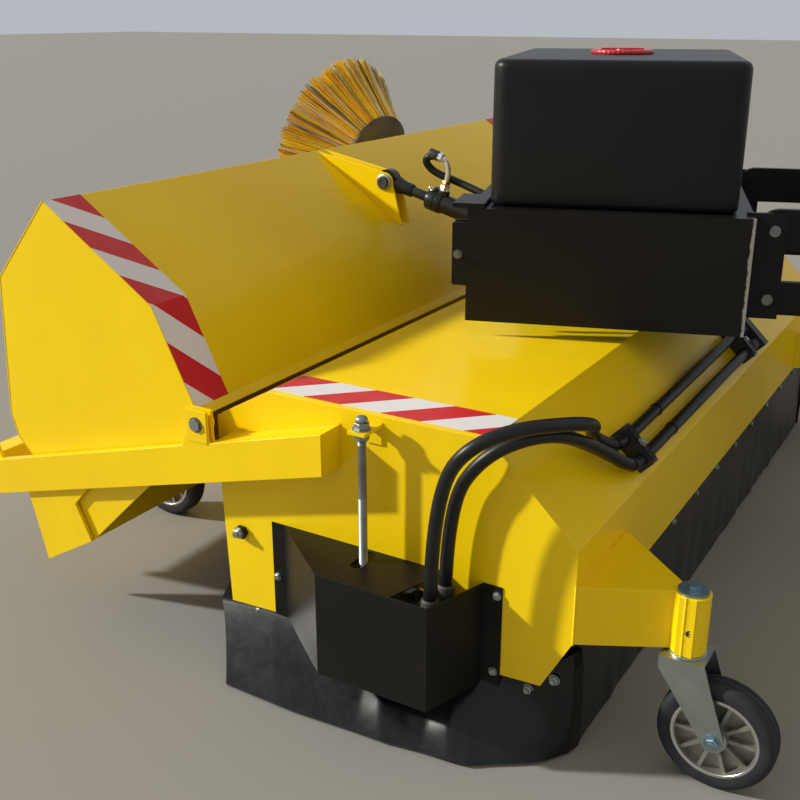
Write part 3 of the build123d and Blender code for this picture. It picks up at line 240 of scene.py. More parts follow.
def tape_finish():
    material = bpy.data.materials.new("red and white tape")
    material.use_nodes = True
    tree = material.node_tree
    shader = tree.nodes["Principled BSDF"]
    run = place(tree, "ShaderNodeSeparateXYZ", {0: place(tree, "ShaderNodeUVMap", uv_map="along tape").outputs[0]})
    slant = place(tree, "ShaderNodeMath", {0: run.outputs["X"], 1: run.outputs["Y"]}, operation="SUBTRACT")
    bars = place(tree, "ShaderNodeMath", {0: slant.outputs[0], 1: 2 * bar_length / 1000}, operation="FLOORED_MODULO")
    red = place(tree, "ShaderNodeMath", {0: bars.outputs[0], 1: bar_length / 1000}, operation="LESS_THAN")
    body = place(tree, "ShaderNodeTexCoord").outputs["Object"]
    scuff = place(tree, "ShaderNodeTexNoise", {"Vector": body, "Scale": 22.0, "Detail": 6.0, "Roughness": 0.7})
    scuffed = place(tree, "ShaderNodeMapRange", {0: scuff.outputs[0], 1: 0.55, 2: 0.80, 4: 0.30})
    white = place(tree, "ShaderNodeMix", {0: scuffed.outputs[0], 6: (0.84, 0.84, 0.88, 1), 7: (0.62, 0.62, 0.62, 1)},
                  data_type="RGBA")
    crimson = place(tree, "ShaderNodeMix",
                    {0: scuffed.outputs[0], 6: (0.66, 0.014, 0.020, 1), 7: (0.50, 0.02, 0.025, 1)}, data_type="RGBA")
    colour = place(tree, "ShaderNodeMix", {0: red.outputs[0], 6: white.outputs[2], 7: crimson.outputs[2]},
                   data_type="RGBA")
    rough = place(tree, "ShaderNodeMapRange", {0: scuff.outputs[0], 1: 0.3, 2: 0.8, 3: 0.28, 4: 0.55})
    tree.links.new(colour.outputs[2], shader.inputs["Base Color"])
    tree.links.new(rough.outputs[0], shader.inputs["Roughness"])
    return material


vinyl = tape_finish()


def lay_tape(name, path, outer_y, inward, phase, body):
    mesh = bpy.data.meshes.new(name)
    work = bmesh.new()
    uv = work.loops.layers.uv.new("along tape")
    slopes = [Vector((b[0] - a[0], 0, b[1] - a[1])).normalized() for a, b in zip(path, path[1:])]
    faces_up = [Vector((slope.z, 0, -slope.x)) for slope in slopes]
    ups = [(first + second).normalized() for first, second in zip(faces_up[:1] + faces_up, faces_up + faces_up[-1:])]
    travelled = phase / 1000
    rows = []
    for index, ((x, z), up) in enumerate(zip(path, ups)):
        if index:
            travelled += hypot(x - path[index - 1][0], z - path[index - 1][1]) / 1000
        rows.append((travelled, [
            work.verts.new(spot(x + up.x * tape_lift, outer_y + inward * across, z + up.z * tape_lift))
            for across in (tape_edge, tape_width)
        ]))
    for (start, row), (end, following) in zip(rows, rows[1:]):
        corners = [(row[0], start, 0), (row[1], start, tape_width),
                   (following[1], end, tape_width), (following[0], end, 0)]
        if inward > 0:
            corners.reverse()
        face = work.faces.new([corner[0] for corner in corners])
        for loop, corner in zip(face.loops, corners):
            loop[uv].uv = (corner[1], corner[2] / 1000)
    bmesh.ops.recalc_face_normals(work, faces=work.faces)
    if sum(face.normal.z for face in work.faces) < 0:
        bmesh.ops.reverse_faces(work, faces=work.faces)
    work.to_mesh(mesh)
    work.free()
    mesh.materials.append(vinyl)
    strip = show(name, mesh)
    skin = strip.modifiers.new("skin", "SOLIDIFY")
    skin.thickness = 0.0005
    strip.data = evaluated_mesh(strip)
    strip.modifiers.clear()
    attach(strip, body)


hood_fold_path = [(458.5, 633.8), (305, 719), (-264, 719)]
for hand, side in (("left", 1), ("right", -1)):
    lay_tape(f"hood_tape_{hand}", hood_fold_path, side * (hood_half - 17), -side, -60, "hood")

# Roller brush: wafers of crimped black bristle pressed together on a steel tube. The bristles
# stand out of a packed ring, and dust from the yard greys their tips.
black_paint = finished(
    "black powder coat",
    {"Base": (0.0075, 0.007, 0.0065, 1), "Patch": (0.011, 0.010, 0.009, 1), "Patch Scale": 2.4, "Grain Scale": 900.0,
     "Grain Depth": 0.00018, "Wave Depth": 0.002, "Rough": 0.34, "Rough Spread": 0.12, "Dust": 0.06,
     "Dust Colour": (0.09, 0.08, 0.07, 1)},
    Specular_IOR_Level=0.19)
zinc_plate = finished(
    "zinc plating",
    {"Base": (0.46, 0.50, 0.47, 1), "Patch": (0.36, 0.40, 0.37, 1), "Patch Scale": 14.0, "Grain Scale": 700.0,
     "Grain Depth": 0.00005, "Rough": 0.28, "Rough Spread": 0.20, "Dust": 0.12},
    Metallic=1.0)
softened("roller_core", 1.0, black_paint, "roller")


def bristle_tree():
    tree = bpy.data.node_groups.new("bristles", "GeometryNodeTree")
    tree.interface.new_socket(name="Roots", in_out="INPUT", socket_type="NodeSocketGeometry")
    for name, kind, usual in (("Thickness", "NodeSocketFloat", 0.003), ("Bend", "NodeSocketFloat", 0.02),
                              ("Steps", "NodeSocketInt", 3)):
        tree.interface.new_socket(name=name, in_out="INPUT", socket_type=kind).default_value = usual
    tree.interface.new_socket(name="Finish", in_out="INPUT", socket_type="NodeSocketMaterial")
    tree.interface.new_socket(name="Bristles", in_out="OUTPUT", socket_type="NodeSocketGeometry")
    wanted = place(tree, "NodeGroupInput").outputs
    tip = place(tree, "ShaderNodeCombineXYZ", {"X": wanted["Bend"], "Z": 1.0})
    spine = place(tree, "GeometryNodeCurveQuadraticBezier",
                  {"Resolution": wanted["Steps"], "Start": (0, 0, 0), "Middle": (0, 0, 0.5), "End": tip.outputs[0]})
    halved = place(tree, "ShaderNodeMath", {0: wanted["Thickness"], 1: 0.5}, operation="MULTIPLY")
    ring = place(tree, "GeometryNodeCurvePrimitiveCircle", {"Resolution": 3, "Radius": halved.outputs[0]})
    strand = place(tree, "GeometryNodeCurveToMesh",
                   {"Curve": spine.outputs[0], "Profile Curve": ring.outputs["Curve"], "Fill Caps": True})
    out = place(tree, "GeometryNodeInputNamedAttribute", {"Name": "out"}, data_type="FLOAT_VECTOR")
    side = place(tree, "GeometryNodeInputNamedAttribute", {"Name": "side"}, data_type="FLOAT_VECTOR")
    reach = place(tree, "GeometryNodeInputNamedAttribute", {"Name": "reach"}, data_type="FLOAT")
    stood = place(tree, "FunctionNodeAlignRotationToVector", {"Vector": out.outputs[0]}, axis="Z")
    turned = place(tree, "FunctionNodeAlignRotationToVector",
                   {"Rotation": stood.outputs[0], "Vector": side.outputs[0]}, axis="X", pivot_axis="Z")
    size = place(tree, "ShaderNodeCombineXYZ", {"X": 1.0, "Y": 1.0, "Z": reach.outputs[0]})
    spread_out = place(tree, "GeometryNodeInstanceOnPoints",
                       {"Points": wanted["Roots"], "Instance": strand.outputs[0], "Rotation": turned.outputs[0],
                        "Scale": size.outputs[0]})
    real = place(tree, "GeometryNodeRealizeInstances", {"Geometry": spread_out.outputs[0]})
    coated = place(tree, "GeometryNodeSetMaterial", {"Geometry": real.outputs[0], "Material": wanted["Finish"]})
    place(tree, "NodeGroupOutput", {0: coated.outputs[0]})
    return tree


strands = bristle_tree()


def made_by_rule(name, mesh, tree, settings):
    made = show(name, mesh)
    maker = made.modifiers.new("made by rule", "NODES")
    maker.node_group = tree
    identifiers = {item.name: item.identifier for item in tree.interface.items_tree if item.in_out == "INPUT"}
    for title, value in settings.items():
        maker[identifiers[title]] = value
    made.data = evaluated_mesh(made)
    made.modifiers.clear()
    return made


def grown(name, points, columns, tree, settings, body):
    mesh = bpy.data.meshes.new(name)
    mesh.from_pydata(points, [], [])
    for title, kind, values in columns:
        column = mesh.attributes.new(title, kind, "POINT")
        if kind == "FLOAT_VECTOR":
            column.data.foreach_set("vector", [number for value in values for number in value])
        else:
            column.data.foreach_set("value", values)
    made = made_by_rule(name, mesh, tree, settings)
    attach(made, body)
    return made


def bristle_finish(name, colours, rough, soiling=0.6):
    material = bpy.data.materials.new(name)
    material.use_nodes = True
    tree = material.node_tree
    shader = tree.nodes["Principled BSDF"]
    shade = place(tree, "ShaderNodeAttribute", attribute_name="shade")
    ramp = place(tree, "ShaderNodeValToRGB", {0: shade.outputs["Fac"]})
    ramp.color_ramp.interpolation = "CONSTANT"
    for index, (start, colour) in enumerate(colours):
        stop = ramp.color_ramp.elements[index] if index < 2 else ramp.color_ramp.elements.new(start)
        stop.position = start
        stop.color = (*colour, 1)
    body = place(tree, "ShaderNodeTexCoord").outputs["Object"]
    dirt = place(tree, "ShaderNodeTexNoise", {"Vector": body, "Scale": 30.0, "Detail": 5.0})
    dirty = place(tree, "ShaderNodeMapRange", {0: dirt.outputs[0], 1: 0.45, 2: 0.75, 4: soiling})
    soiled = place(tree, "ShaderNodeMix", {0: dirty.outputs[0], 6: ramp.outputs[0], 7: (0.16, 0.13, 0.09, 1)},
                   data_type="RGBA")
    dull = place(tree, "ShaderNodeMapRange", {0: dirt.outputs[0], 1: 0.3, 2: 0.8, 3: rough, 4: rough + 0.3})
    tree.links.new(soiled.outputs[2], shader.inputs["Base Color"])
    tree.links.new(dull.outputs[0], shader.inputs["Roughness"])
    return material


wafer_finish = bristle_finish("crimped black bristle", [(0.0, (0.020, 0.020, 0.022)), (0.55, (0.034, 0.034, 0.038)),
                                                        (0.85, (0.085, 0.080, 0.075))], 0.45)
roller_half, roller_height = hood_half - 65, 262
wafer_count, strands_a_wafer, ring_steps = 12, 760, 72
ring_mesh = bpy.data.meshes.new("packed_wafers")
ring_work = bmesh.new()
pitch = 2 * roller_half / wafer_count
profile = [(-roller_half, 96)]
for wafer in range(wafer_count):
    begin = -roller_half + wafer * pitch
    profile += [(begin + 1, 204), (begin + 0.16 * pitch, 232), (begin + 0.84 * pitch, 232), (begin + pitch - 1, 204)]
profile.append((roller_half, 96))
loops = []
for step in range(ring_steps):
    turn = 2 * pi * step / ring_steps
    loops.append([ring_work.verts.new(spot(r * sin(turn), y, roller_height + r * cos(turn))) for y, r in profile])
for here, after in zip(loops, loops[1:] + loops[:1]):
    for index in range(len(profile)):
        follow = (index + 1) % len(profile)
        ring_work.faces.new((here[index], here[follow], after[follow], after[index]))
bmesh.ops.recalc_face_normals(ring_work, faces=ring_work.faces)
ring_work.to_mesh(ring_mesh)
ring_work.free()
ring_mesh.materials.append(wafer_finish)
packed_wafers = show("packed_wafers", ring_mesh)
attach(packed_wafers, "roller")
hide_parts("roller_bristles")

chance = Random(7)
roots, outs, sides, reaches, shades = [], [], [], [], []
for wafer in range(wafer_count):
    for strand in range(strands_a_wafer):
        share = chance.random()
        y = -roller_half + (wafer + 0.03 + 0.94 * share) * pitch
        edge_share = min(share, 1 - share) / 0.16
        end_r = 256 if edge_share > 1 else 208 + 48 * edge_share
        turn = 2 * pi * chance.random()
        lean = Vector((chance.gauss(0, 0.10), chance.gauss(0, 0.05), chance.gauss(0, 0.10)))
        away = (Vector((sin(turn), 0, cos(turn))) + lean).normalized()
        start_r = min(215, end_r - 25)
        roots.append(spot(start_r * sin(turn), y, roller_height + start_r * cos(turn)))
        outs.append(away)
        sides.append(Vector((cos(turn), 0, -sin(turn))))
        reaches.append((end_r - start_r) * chance.uniform(0.90, 0.99) / 1000)
        shades.append(chance.random())
wafer_strands = grown("roller_strands", roots, [("out", "FLOAT_VECTOR", outs), ("side", "FLOAT_VECTOR", sides),
                                                ("reach", "FLOAT", reaches), ("shade", "FLOAT", shades)],
                      strands, {"Thickness": 0.0042, "Bend": 0.004, "Steps": 2, "Finish": wafer_finish}, "roller")

# Roller carriers, bearing hub and hydraulic motor. Flame-cut swing arms with a turned pin, and
# cast housings bolted to them; the motor's port block stands up behind the guard's cut corner.
cast_black = finished(
    "cast housing, black",
    {"Base": (0.030, 0.030, 0.032, 1), "Patch": (0.045, 0.043, 0.040, 1), "Patch Scale": 9.0, "Grain Scale": 320.0,
     "Grain Depth": 0.0009, "Rough": 0.48, "Rough Spread": 0.15, "Dust": 0.35,
     "Dust Colour": (0.20, 0.18, 0.15, 1)})
for hand in ("left", "right"):
    softened(f"roller_carrier_{hand}", 1.2, black_paint, "hood")
softened("drive_motor", 3.0, cast_black, "hood")
softened("bearing_hub", 3.0, cast_black, "hood")

# Height rods: 20 mm steel rod, threaded at both ends and plain in the middle, held in the folded
# bracket by a nut above and below it and screwed into the lug of the hub.
rod_x, rod_y, bracket_z = 15, hood_half + 50, 695
plain_steel = finished(
    "dark plain steel",
    {"Base": (0.24, 0.25, 0.24, 1), "Patch": (0.17, 0.175, 0.17, 1), "Patch Scale": 20.0, "Grain Scale": 500.0,
     "Grain Depth": 0.0002, "Rough": 0.40, "Rough Spread": 0.15, "Dust": 0.2},
    Metallic=0.9)
dull_zinc = finished(
    "dull zinc on thread",
    {"Base": (0.34, 0.36, 0.34, 1), "Patch": (0.26, 0.28, 0.27, 1), "Patch Scale": 20.0, "Grain Depth": 0.00005,
     "Rough": 0.42, "Rough Spread": 0.15, "Dust": 0.15},
    Metallic=0.9)


def lathe(work, centre, axis, outline, steps, finish=0):
    axis = Vector(axis).normalized()
    first = axis.orthogonal().normalized()
    second = axis.cross(first)
    rings = []
    for step in range(steps):
        turn = 2 * pi * step / steps
        away = first * cos(turn) + second * sin(turn)
        rings.append([work.verts.new(centre + (axis * along + away * max(r, 0.01)) / 1000) for along, r in outline])
    for here, after in zip(rings, rings[1:] + rings[:1]):
        for index in range(len(outline) - 1):
            face = work.faces.new((here[index], here[index + 1], after[index + 1], after[index]))
            face.material_index = finish
            face.smooth = True


def flat_ring(inner, outer, thick):
    return [(0, inner), (0, outer), (thick, outer), (thick, inner)]


def closed_piece(name, work, finishes, body):
    bmesh.ops.remove_doubles(work, verts=work.verts, dist=2e-5)
    bmesh.ops.recalc_face_normals(work, faces=work.faces)
    mesh = bpy.data.meshes.new(name)
    work.to_mesh(mesh)
    work.free()
    for finish in finishes:
        mesh.materials.append(finish)
    mesh.set_sharp_from_angle(angle=radians(38))
    made = show(name, mesh)
    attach(made, body)
    return made


for hand, side in (("left", 1), ("right", -1)):
    rod_work = bmesh.new()
    low, plain_low, plain_high, high, thread = 342, 542, 666, 728, 2.5
    outline = [(low, 0)]
    for begin, end in ((low, plain_low), (plain_high, high)):
        crest = begin
        while crest < end:
            outline += [(crest, 8.9), (crest + thread / 2, 10)]
            crest += thread
        if begin == low:
            outline += [(plain_low, 9.6), (plain_high, 9.6)]
    outline += [(high, 8.5), (high, 0)]
    lathe(rod_work, spot(rod_x, side * rod_y, 0), (0, 0, 1), outline, 18)
    for face in rod_work.faces:
        face.material_index = 1 if plain_low / 1000 < face.calc_center_median().z < plain_high / 1000 else 0
    for base in (bracket_z + 8.3, bracket_z - 16.3):
        lathe(rod_work, spot(rod_x, side * rod_y, base), (0, 0, 1),
              [(0, 10), (0, 15.5), (1.5, 17.2), (14.5, 17.2), (16, 15.5), (16, 10)], 6)
    lathe(rod_work, spot(rod_x, side * rod_y, bracket_z + 8.1), (0, 0, 1), flat_ring(10, 21, 2.4), 28)
    lathe(rod_work, spot(rod_x, side * rod_y, high - 8), (0, 0, 1),
          [(0, 9.5), (0, 12), (2, 13.5), (6, 14), (10, 12.5), (13, 8.5), (14, 0)], 20)
    rod = closed_piece(f"height_rod_{hand}_threaded", rod_work, [dull_zinc, plain_steel], "hood")
    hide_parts(f"height_rod_{hand}")

# Motor guard: one sheet folded round the motor with a slotted lid, powder coated black and held
# by small zinc bolts through its flanges. Bolts everywhere are hexagon heads on plain washers.
softened("motor_guard", 0.9, black_paint, "hood")


def bolt_tree():
    tree = bpy.data.node_groups.new("hexagon bolts", "GeometryNodeTree")
    tree.interface.new_socket(name="Holes", in_out="INPUT", socket_type="NodeSocketGeometry")
    for name, usual in (("Head Radius", 0.0085), ("Head Height", 0.006), ("Washer Radius", 0.012),
                        ("Washer Thickness", 0.002), ("Stud Radius", 0.005), ("Stud Length", 0.0)):
        tree.interface.new_socket(name=name, in_out="INPUT", socket_type="NodeSocketFloat").default_value = usual
    tree.interface.new_socket(name="Finish", in_out="INPUT", socket_type="NodeSocketMaterial")
    tree.interface.new_socket(name="Bolts", in_out="OUTPUT", socket_type="NodeSocketGeometry")
    wanted = place(tree, "NodeGroupInput").outputs

    def maths(operation, first, second, third=0.0):
        return place(tree, "ShaderNodeMath", {0: first, 1: second, 2: third}, operation=operation).outputs[0]

    def raised(shape, height):
        lift = place(tree, "ShaderNodeCombineXYZ", {"Z": height})
        return place(tree, "GeometryNodeTransform", {"Geometry": shape, "Translation": lift.outputs[0]}).outputs[0]

    washer = place(tree, "GeometryNodeMeshCylinder",
                   {"Vertices": 24, "Radius": wanted["Washer Radius"], "Depth": wanted["Washer Thickness"]})
    washer = raised(washer.outputs[0], maths("MULTIPLY", wanted["Washer Thickness"], 0.5))
    flats = maths("MULTIPLY", wanted["Head Height"], 0.84)
    head = place(tree, "GeometryNodeMeshCylinder", {"Vertices": 6, "Radius": wanted["Head Radius"], "Depth": flats})
    head = raised(head.outputs[0], maths("MULTIPLY_ADD", flats, 0.5, wanted["Washer Thickness"]))
    crown = place(tree, "GeometryNodeMeshCone", {
        "Vertices": 6, "Radius Top": maths("MULTIPLY", wanted["Head Radius"], 0.84),
        "Radius Bottom": wanted["Head Radius"], "Depth": maths("MULTIPLY", wanted["Head Height"], 0.16)})
    crown = raised(crown.outputs[0], maths("ADD", flats, wanted["Washer Thickness"]))
    stud = place(tree, "GeometryNodeMeshCylinder", {
        "Vertices": 16, "Radius": wanted["Stud Radius"],
        "Depth": maths("MAXIMUM", wanted["Stud Length"], 0.001)})
    top = maths("ADD", wanted["Head Height"], wanted["Washer Thickness"])
    stud = raised(stud.outputs[0], maths("MULTIPLY_ADD", wanted["Stud Length"], 0.5, top))
    joined = place(tree, "GeometryNodeJoinGeometry")
    for shape in (washer, head, crown, stud):
        tree.links.new(shape, joined.inputs[0])
    out = place(tree, "GeometryNodeInputNamedAttribute", {"Name": "out"}, data_type="FLOAT_VECTOR")
    turned = place(tree, "FunctionNodeAlignRotationToVector", {"Vector": out.outputs[0]}, axis="Z")
    spin = place(tree, "FunctionNodeRandomValue", {2: 0.0, 3: 6.28, "Seed": 5}, data_type="FLOAT")
    twist = place(tree, "ShaderNodeCombineXYZ", {"Z": spin.outputs[1]})
    own = place(tree, "FunctionNodeRotateRotation", {0: turned.outputs[0], 1: twist.outputs[0]},
                rotation_space="LOCAL")
    set_in = place(tree, "GeometryNodeInstanceOnPoints",
                   {"Points": wanted["Holes"], "Instance": joined.outputs[0], "Rotation": own.outputs[0]})
    real = place(tree, "GeometryNodeRealizeInstances", {"Geometry": set_in.outputs[0]})
    coated = place(tree, "GeometryNodeSetMaterial", {"Geometry": real.outputs[0], "Material": wanted["Finish"]})
    place(tree, "NodeGroupOutput", {0: coated.outputs[0]})
    return tree


hex_bolts = bolt_tree()


def bolted(name, holes, size, body, stud=0.0):
    made = grown(name, [hole[0] for hole in holes], [("out", "FLOAT_VECTOR", [hole[1] for hole in holes])], hex_bolts,
                 {"Head Radius": 0.95 * size / 1000, "Head Height": 0.65 * size / 1000,
                  "Washer Radius": 1.15 * size / 1000, "Washer Thickness": 0.0018,
                  "Stud Radius": 0.5 * size / 1000, "Stud Length": stud / 1000, "Finish": zinc_plate}, body)


outside = Vector((0, 1, 0))
bolted("guard_bolts", [(spot(x, hood_half + 3, z), outside) for x, z in
                       ((295, 243), (-295, 366), (-291, 176))], 9, "hood")
bolted("end_plate_bolts", [(spot(404, side * (hood_half + 12.6), 337), outside * side) for side in (1, -1)],
       13, "hood", stud=7)
bolted("skirt_end_bolts", [(spot(x, side * (hood_half - 6.5), z), outside * side) for side in (1, -1) for x, z in
                           ((402, 113), (366, 121), (-373, 154), (-432, 198))], 11, "hood", stud=5)

# Rubber skirts: 8 mm black rubber sheet, bolted inside the hood's ends and back. The end ones are
# cut too long, so they splay out over the ground and buckle into a few soft folds.
rubber_sheet = finished(
    "skirt rubber",
    {"Base": (0.0045, 0.0045, 0.0048, 1), "Patch": (0.007, 0.0075, 0.008, 1), "Patch Scale": 2.2, "Grain Scale": 500.0,
     "Grain Depth": 0.00006, "Wave Depth": 0.0, "Rough": 0.20, "Rough Spread": 0.12, "Dust": 0.12,
     "Dust Colour": (0.06, 0.062, 0.062, 1)},
    Specular_IOR_Level=0.36)


def along(line, share):
    runs = [(Vector(b) - Vector(a)).length for a, b in zip(line, line[1:])]
    reach = share * sum(runs)
    for start, end, run in zip(line, line[1:], runs):
        if reach <= run:
            return Vector(start).lerp(Vector(end), reach / run)
        reach -= run
    return Vector(line[-1])


sheet_thickness = 8


def sheet_piece(name, grid, body, replaced):
    mesh = bpy.data.meshes.new(name)
    rows, columns = len(grid), len(grid[0])
    corners = [point for row in grid for point in row]
    faces = [(r * columns + c, r * columns + c + 1, (r + 1) * columns + c + 1, (r + 1) * columns + c)
             for r in range(rows - 1) for c in range(columns - 1)]
    mesh.from_pydata(corners, [], faces)
    mesh.materials.append(rubber_sheet)
    made = show(name, mesh)
    wall = made.modifiers.new("wall", "SOLIDIFY")
    wall.thickness = sheet_thickness / 1000
    wall.offset = 0
    wall.use_even_offset = True
    made.data = evaluated_mesh(made)
    made.modifiers.clear()
    work = bmesh.new()
    work.from_mesh(made.data)
    bmesh.ops.recalc_face_normals(work, faces=work.faces)
    for face in work.faces:
        face.smooth = True
    work.to_mesh(made.data)
    work.free()
    made.data.set_sharp_from_angle(angle=radians(50))
    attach(made, body)
    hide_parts(replaced)


skirt_top = [(447, 1203, 196), (-392, 1204, 196), (-430, 1202, 232), (-458, 1196, 262), (-473, 1168, 268)]
skirt_knee = [(486, 1208, 122), (400, 1205, 130), (-398, 1205, 168), (-440, 1202, 200), (-464, 1192, 225),
              (-474, 1160, 225)]
skirt_foot = [(345, 1374, 7), (150, 1378, 7), (-91, 1364, 7), (-290, 1338, 7), (-425, 1240, 7), (-462, 1185, 7),
              (-471, 1148, 7)]
folds = ((0.48, 0.06, 24, 1.0), (0.66, 0.06, 36, 1.0), (0.84, 0.07, 22, 0.9), (0.16, 0.12, 8, 1.0))
for hand, side in (("left", 1), ("right", -1)):
    drape = []
    columns, rows = 120, 26
    for row in range(rows + 1):
        drop = row / rows
        line = []
        for column in range(columns + 1):
            share = column / columns
            top, knee, foot = along(skirt_top, share), along(skirt_knee, share), along(skirt_foot, share)
            if drop < 0.25:
                point = top.lerp(knee, drop / 0.25)
            else:
                fall = (drop - 0.25) / 0.75
                middle = knee.lerp(foot, 0.45) + Vector((0, -16, -4))
                point = knee * (1 - fall) ** 2 + middle * 2 * fall * (1 - fall) + foot * fall ** 2
                swell = 0
                for centre, width, depth, sharp in folds:
                    reach = abs(share - centre) / (width * (0.35 + fall))
                    if reach < 1:
                        swell += depth * fall ** 1.2 * ((1 - reach) ** sharp)
                swell += 7 * fall * noise(Vector((share * 5, fall, side * 3.1)))
                swell *= 1 - 0.8 * max(0, fall - 0.72) / 0.28
                away = Vector((-0.25 if share > 0.75 else 0, 1, 0)).normalized()
                point += away * swell * 0.45 + Vector((0, 0, swell * 0.55 * min(1, (1 - fall) * 2.5 + 0.12)))
            line.append(spot(point.x, side * min(point.y, 1384), max(point.z, 6)))
        drape.append(line)
    sheet_piece(f"end_skirt_{hand}_draped", drape, "hood", f"end_skirt_{hand}")

rear_half, columns, rows = 1166, 160, 22
drape = []
for row in range(rows + 1):
    drop = row / rows
    line = []
    for column in range(columns + 1):
        y = -rear_half + 2 * rear_half * column / columns
        swing = drop ** 1.5 * (9 * noise(Vector((y / 240, drop, 5))) + 5 * noise(Vector((y / 70, drop * 2, 9))))
        swing *= min(1, (1170 - abs(y)) / 160)
        line.append(spot(-461 - swing - 6 * drop, y, 345 - drop * 339))
    drape.append(line)
sheet_piece("rear_skirt_hung", drape, "hood", "rear_skirt")
bolted("rear_skirt_bolts", [(spot(-466, -1130 + 205.5 * number, 284), Vector((-1, 0, 0))) for number in range(12)],
       9, "hood")

# Drive hoses: two 30 mm hydraulic hoses from the motor's ports over the hood's back to a steel
# manifold, black rubber over wire, with crimped collars and hexagon nuts at their ends.
hose_rubber = finished(
    "hose rubber",
    {"Base": (0.007, 0.0068, 0.0066, 1), "Patch": (0.012, 0.0115, 0.011, 1), "Patch Scale": 10.0, "Grain Scale": 650.0,
     "Grain Depth": 0.0002, "Rough": 0.30, "Rough Spread": 0.15, "Dust": 0.10, "Dust Colour": (0.08, 0.075, 0.07, 1)},
    Specular_IOR_Level=0.38)
brass = finished(
    "brass fitting",
    {"Base": (0.62, 0.42, 0.14, 1), "Patch": (0.42, 0.28, 0.10, 1), "Patch Scale": 30.0, "Grain Depth": 0.00005,
     "Rough": 0.30, "Rough Spread": 0.2, "Dust": 0.25},
    Metallic=1.0)


def smooth_route(points):
    curve = bpy.data.curves.new("route", "CURVE")
    curve.dimensions = "3D"
    curve.resolution_u = 10
    spline = curve.splines.new("NURBS")
    spline.points.add(len(points) - 1)
    for target, point in zip(spline.points, points):
        target.co = (*point, 1)
    spline.order_u = 3
    spline.use_endpoint_u = True
    guide = show("route", curve)
    line = [vertex.co.copy() for vertex in evaluated_mesh(guide).vertices]
    bpy.data.objects.remove(guide)
    return line


def tube(work, line, radius, sides, finish=0):
    rings = []
    across = (line[1] - line[0]).normalized().orthogonal().normalized()
    for index, point in enumerate(line):
        ahead = (line[min(index + 1, len(line) - 1)] - line[max(index - 1, 0)]).normalized()
        across = (across - ahead * across.dot(ahead)).normalized()
        other = ahead.cross(across)
        ring = []
        for step in range(sides):
            turn = 2 * pi * step / sides
            ring.append(work.verts.new(point + (across * cos(turn) + other * sin(turn)) * (radius / 1000)))
        rings.append(ring)
    for here, after in zip(rings, rings[1:]):
        for step in range(sides):
            following = (step + 1) % sides
            face = work.faces.new((here[step], here[following], after[following], after[step]))
            face.material_index = finish
            face.smooth = True
    for ends in (rings[0][::-1], rings[-1]):
        work.faces.new(ends).material_index = finish


hood_back, hood_crest = Vector((-470, 0, 519)), Vector((-264, 0, 719))
hose_rise = 24
slope = (hood_crest - hood_back).normalized()
slope_up = Vector((-slope.z, 0, slope.x))
hose_lift = {"upper": 103, "lower": 43}
clamp_near, clamp_far, manifold_y = hood_half - 410, -178, -262
hose_routes = {
    "upper": [(-188, 1322, 330), (-188, 1322, 620), (-302, 1342, 785), (-449, 1087, 756), (-372, 935, 656)],
    "lower": [(-186, 1250, 330), (-186, 1250, 563), (-273, 1258, 707), (-387, 1179, 753), (-415, 957, 636)],
}
hose_work = bmesh.new()
for name, route in hose_routes.items():
    seat = hood_back + slope * hose_lift[name] + slope_up * hose_rise
    points = [spot(*point) for point in route]
    points += [spot(seat.x, y, seat.z) for y in (clamp_near + 57, clamp_near - 40, -100, manifold_y)]
    line = smooth_route(points)
    tube(hose_work, line, 15, 20)
    near_end, far_end = points[0], spot(seat.x, manifold_y, seat.z)
    lathe(hose_work, near_end, (0, 0, 1), [(2, 15.2), (2, 19), (5, 20), (44, 20), (48, 17.5), (50, 15.2)], 24, 1)
    lathe(hose_work, near_end, (0, 0, 1), [(-14, 12), (-14, 19), (-12, 21), (0, 21), (2, 19), (2, 12)], 6, 1)
    lathe(hose_work, far_end, (0, 1, 0), [(14, 15.2), (14, 19), (17, 20), (52, 20), (56, 17.5), (57, 15.2)], 24, 1)
    lathe(hose_work, far_end, (0, 1, 0), [(-1, 12), (-1, 19), (1, 21), (12, 21), (14, 19), (14, 12)], 6, 1)
    for share in (0.64, 0.80):
        middle = line[int(share * len(line))]
        lathe(hose_work, middle, (0, 1, 0), [(-3.5, 14.9), (-3.5, 16.6), (3.5, 16.6), (3.5, 14.9)], 24, 2)
lathe(hose_work, spot(-150, 1290, 330), (0, 0, 1), [(-4, 0), (-4, 12), (9, 12), (11, 10), (11, 0)], 6, 3)
lathe(hose_work, spot(-118, 1262, 330), (0, 0, 1), [(-4, 0), (-4, 9), (12, 9), (14, 7), (14, 0)], 6, 1)
hoses = closed_piece("drive_hoses_fitted", hose_work, [hose_rubber, cast_black, black_paint, brass], "hood")
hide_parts("drive_hoses")

